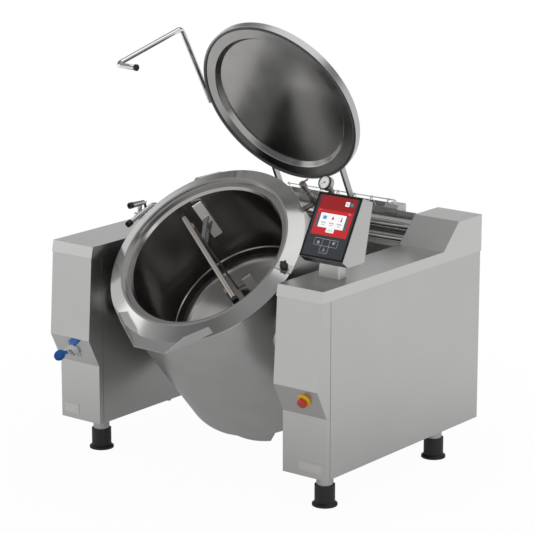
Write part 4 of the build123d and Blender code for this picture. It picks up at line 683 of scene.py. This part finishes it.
def makeTray():
    front, back, thick = rack["front"], rack["back"], rack["sheet"]
    place = frameAt((0, rack["columnsFront"], 0), (0, 1, 0), (0, 0, 1))
    lip, nose = front - rack["contact"], front - thick
    tray = [
        (lip, bridgeTop(front)), (lip, rack["hook"]), (nose, rack["hook"]), (nose, rack["frontTop"]),
        (front, rack["frontTop"]), (front + thick, bridgeTop(front) + thick),
        (back - thick, bridgeTop(back) + thick), (back - thick, rack["backTop"]),
        (back, rack["backTop"]), (back, bridgeTop(back)),
    ]
    skin = 0.1  # the box and the end wall stand this far outside the folded tray
    box = [
        (nose - skin, rack["hook"] + rack["boxDrop"]), (nose - skin, rack["frontTop"] + skin),
        (front + rack["boxNose"], rack["boxTop"]), (back + skin, rack["boxTop"]),
        (back + skin, bridgeTop(back)), (front, bridgeTop(front)),
    ]
    wall = [
        (nose, rack["frontTop"]), (back, rack["backTop"]),
        (back, bridgeTop(back)), (front, bridgeTop(front)),
    ]
    steel = (sheetSteel, "stand", "satin_steel")
    prismPiece("rackTray", place, [tray], rack["left"], rack["right"], *steel)
    prismPiece("rackBox", place, [box], rack["boxLeft"], rack["right"] + 2 * skin, *steel)
    prismPiece("rackEndWall", place, [wall], rack["left"] - 2 * skin, rack["left"] + thick, *steel)


def makeRail():
    place = frameAt((0, rack["columnsFront"], 0), (1, 0, 0), (0, 1, 0))
    knobs = [rack["firstKnob"] + rack["knobPitch"] * step for step in range(rack["knobs"])]
    y, z = rack["railY"], rack["railZ"]
    bend = knobs[-1] + rack["railStraight"]
    end = (knobs[-1] + rack["railPast"], rack["railEndY"], rack["boxTop"] - rack["railSink"])
    route = [(knobs[0], y, z), (bend, y, z), end]
    feet = [(knob, knob + way * rack["legRun"]) for knob in knobs for way in (-1, 1)]
    footZ = bridgeTop(y) + rack["sheet"] / 2
    legs = [[(foot, y, footZ), (knob, y, z)] for knob, foot in feet if rack["left"] < foot < rack["boxLeft"]]
    wire = (chrome, "stand", "chrome")
    rail = bentPath(route, rack["railBend"], rack["bendSteps"])
    tubePiece("rackRail", place, [rail], rack["wire"], rack["wireSides"], *wire)
    tubePiece("rackLegs", place, legs, rack["legWire"], rack["legSides"], *wire)
    builder = bmesh.new()
    around, upward = rack["knobFacets"]
    ball = {"u_segments": around, "v_segments": upward, "radius": rack["knob"] * mm}
    for knob in knobs:
        spot = place @ Vector((knob * mm, y * mm, z * mm))
        bmesh.ops.create_uvsphere(builder, matrix=Matrix.Translation(spot), **ball)
    newPiece("rackKnobs", builder, *wire, smooth=True)


makeTray()
makeRail()
print("rack made")

# lid handle: one bent rod with a closed grip end; x across, then back and up in the lid's frame, in mm
handle = {
    "lidCentre": (0, 0.179912, 1.459314), "lidTurn": 64.0,
    "x": -385.0, "root": (46.0, 9.0), "crown": (-335.0, -15.0), "end": (-423.0, -422.5),
    "grip": 100.0, "radius": 11.0, "bend": 28.0, "capRadius": 13.5, "capLength": 12.0,
    "lug": (12.0, 16.0, 3.0), "lugShift": 6.0, "lugSpread": 30.0, "lugLevels": (4.0, 12.0),
    "lugEdge": 0.6, "capEdge": 2.5, "bendSteps": 12, "sides": 24, "capSides": 32,
}


def makeHandle():
    turn = radians(handle["lidTurn"])
    place = frameAt(handle["lidCentre"], (1, 0, 0), (0, cos(turn), -sin(turn)))
    x, end = handle["x"], handle["end"]
    gripEnd = (x + handle["grip"], *end)
    corners = [(x, *handle["root"]), (x, *handle["crown"]), (x, *end), gripEnd]
    route = bentPath(corners, handle["bend"], handle["bendSteps"])
    steelRod = (chrome, "lid", "bright_steel")
    rod = tubePiece("lidHandleRod", place, [route], handle["radius"], handle["sides"], *steelRod)
    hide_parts("lid_handle")
    lugs = [tile(x + handle["lugShift"], way * handle["lugSpread"], *handle["lug"]) for way in (-1, 1)]
    steel = (toughSteel, "lid", "satin_steel")
    prismPiece("lidHandleLugs", place, lugs, *handle["lugLevels"], *steel, edge=handle["lugEdge"])
    capPlace = frameAt(place @ (Vector(gripEnd) * mm), (0, 1, 0), (0, 0, 1))
    shape = disc(handle["capRadius"], handle["capSides"])
    plastic = (blackPlastic, "lid", "black_plastic")
    length, edge = handle["capLength"], handle["capEdge"]
    cap = prismPiece("lidHandleCap", capPlace, [shape], 0.0, length, *plastic, edge=edge)
    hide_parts("handle_cap")


makeHandle()
print("lid handle made")

# long lens from the right front, as for a catalogue
camera = {
    "azimuth": 38.09, "elevation": 14.08, "distance": 9.9459, "lens": 164.94, "sensor": 36.0,
    "target": (0.10925, -0.0416, 0.83083), "farClip": 60.0,
}
studio = {
    "floorSize": 30.0, "floorTone": "#a6a6a6", "shadowShare": 0.97, "floorGlow": 0.34,
    "fadeStart": 0.7, "fadeEnd": 2.1, "ambient": 0.92,
    "whiteBelow": 0.22, "ceilingTone": 0.3,
    "roomTones": ((0.1, 0.7), (0.22, 0.24), (0.45, 0.2), (0.68, 0.42)),
    # place, aim, size and power of each softbox
    "softboxes": {
        "overheadSoftbox": ((0.9, 0.3, 4.8), (0.1, 0, 0.6), (4.4, 4.4), 60.0),
        "leftSoftbox": ((-4.2, -2.6, 2.4), (0, 0, 0.8), (1.6, 3.2), 16.0),
        "rightSoftbox": ((4.6, -1.2, 2.6), (0, 0, 0.7), (1.4, 3.0), 16.0),
    },
}


def placeCamera():
    turn, rise = radians(camera["azimuth"]), radians(camera["elevation"])
    away = Vector((sin(turn) * cos(rise), -cos(turn) * cos(rise), sin(rise)))
    lens = bpy.data.cameras.new("catalogueLens")
    lens.lens = camera["lens"]
    lens.sensor_width = camera["sensor"]
    lens.clip_end = camera["farClip"]
    eye = bpy.data.objects.new("catalogueCamera", lens)
    bpy.context.scene.collection.objects.link(eye)
    eye.location = Vector(camera["target"]) + away * camera["distance"]
    eye.rotation_euler = (-away).to_track_quat("-Z", "Y").to_euler()
    bpy.context.scene.camera = eye


def seenRays(tree, rays):
    # rays that show the background itself: straight from the camera, off metal and through glass
    direct = {0: rays.outputs["Is Camera Ray"], 1: rays.outputs["Is Glossy Ray"]}
    both = addNode(tree, "ShaderNodeMath", direct, operation="MAXIMUM").outputs[0]
    through = {0: both, 1: rays.outputs["Is Transmission Ray"]}
    return addNode(tree, "ShaderNodeMath", through, operation="MAXIMUM").outputs[0]


def makeFloor():
    half = studio["floorSize"] / 2
    corners = [(-half, -half, 0), (half, -half, 0), (half, half, 0), (-half, half, 0)]
    mesh = bpy.data.meshes.new("studioFloor")
    mesh.from_pydata(corners, [], [(0, 1, 2, 3)])
    floor = bpy.data.objects.new("studioFloor", mesh)
    bpy.context.scene.collection.objects.link(floor)
    material = bpy.data.materials.new("paleFloor")
    material.use_nodes = True
    tree = material.node_tree
    tree.nodes.clear()
    matt = addNode(tree, "ShaderNodeBsdfDiffuse", {"Color": hexToLinear(studio["floorTone"])})
    plain = addNode(tree, "ShaderNodeEmission", {"Color": (1, 1, 1, 1), "Strength": 1.0})
    # the shadow shows near the machine; further off the floor is the background's white
    place = addNode(tree, "ShaderNodeTexCoord").outputs["Object"]
    reach = addNode(tree, "ShaderNodeVectorMath", {0: place}, operation="LENGTH").outputs["Value"]
    rays = addNode(tree, "ShaderNodeLightPath")
    toCamera = rays.outputs["Is Camera Ray"]
    shares = {"Value": toCamera, "To Min": studio["floorGlow"], "To Max": studio["shadowShare"]}
    nearShare = addNode(tree, "ShaderNodeMapRange", shares).outputs[0]
    fading = {"Value": reach, "From Min": studio["fadeStart"], "From Max": studio["fadeEnd"]}
    fade = addNode(tree, "ShaderNodeMapRange", fading).outputs[0]
    share = addNode(tree, "ShaderNodeMix", {"Factor": fade, "A": nearShare, "B": 1.0}).outputs[0]
    seen = addNode(tree, "ShaderNodeMath", {0: seenRays(tree, rays), 1: share}, operation="MULTIPLY")
    mix = addNode(tree, "ShaderNodeMixShader", {0: seen.outputs[0], 1: matt.outputs[0], 2: plain.outputs[0]})
    addNode(tree, "ShaderNodeOutputMaterial", {"Surface": mix.outputs[0]})
    mesh.materials.append(material)


def addSoftbox(name, place, aim, size, power):
    lamp = bpy.data.lights.new(name, "AREA")
    lamp.shape = "RECTANGLE"
    lamp.size, lamp.size_y = size
    lamp.energy = power
    holder = bpy.data.objects.new(name, lamp)
    bpy.context.scene.collection.objects.link(holder)
    holder.location = place
    holder.rotation_euler = (Vector(aim) - Vector(place)).to_track_quat("-Z", "Y").to_euler()


def makeRoom():
    # the room is white up to eye level and darker overhead, between the softboxes
    world = bpy.data.worlds.new("studioRoom")
    bpy.context.scene.world = world
    world.use_nodes = True
    tree = world.node_tree
    tree.nodes.clear()
    direction = addNode(tree, "ShaderNodeTexCoord").outputs["Generated"]
    height = addNode(tree, "ShaderNodeSeparateXYZ", {"Vector": direction}).outputs["Z"]
    above = addNode(tree, "ShaderNodeMapRange", {"Value": height, "From Min": studio["whiteBelow"]})
    room = addNode(tree, "ShaderNodeValToRGB", {"Fac": above.outputs[0]})
    stops = room.color_ramp.elements
    stops[0].color = (1, 1, 1, 1)
    stops[1].color = (*(studio["ceilingTone"],) * 3, 1)
    for spot, tone in studio["roomTones"]:
        stops.new(spot).color = (tone, tone, tone, 1)
    light = addNode(tree, "ShaderNodeBackground", {"Color": (*(studio["ambient"],) * 3, 1), "Strength": 1.0})
    shown = addNode(tree, "ShaderNodeBackground", {"Color": room.outputs["Color"], "Strength": 1.0})
    seen = seenRays(tree, addNode(tree, "ShaderNodeLightPath"))
    mix = addNode(tree, "ShaderNodeMixShader", {0: seen, 1: light.outputs[0], 2: shown.outputs[0]})
    addNode(tree, "ShaderNodeOutputWorld", {"Surface": mix.outputs[0]})


placeCamera()
makeFloor()
for name, (place, aim, size, power) in studio["softboxes"].items():
    addSoftbox(name, place, aim, size, power)
makeRoom()
bpy.context.scene.view_settings.view_transform = "Standard"
print("camera, floor and light placed")
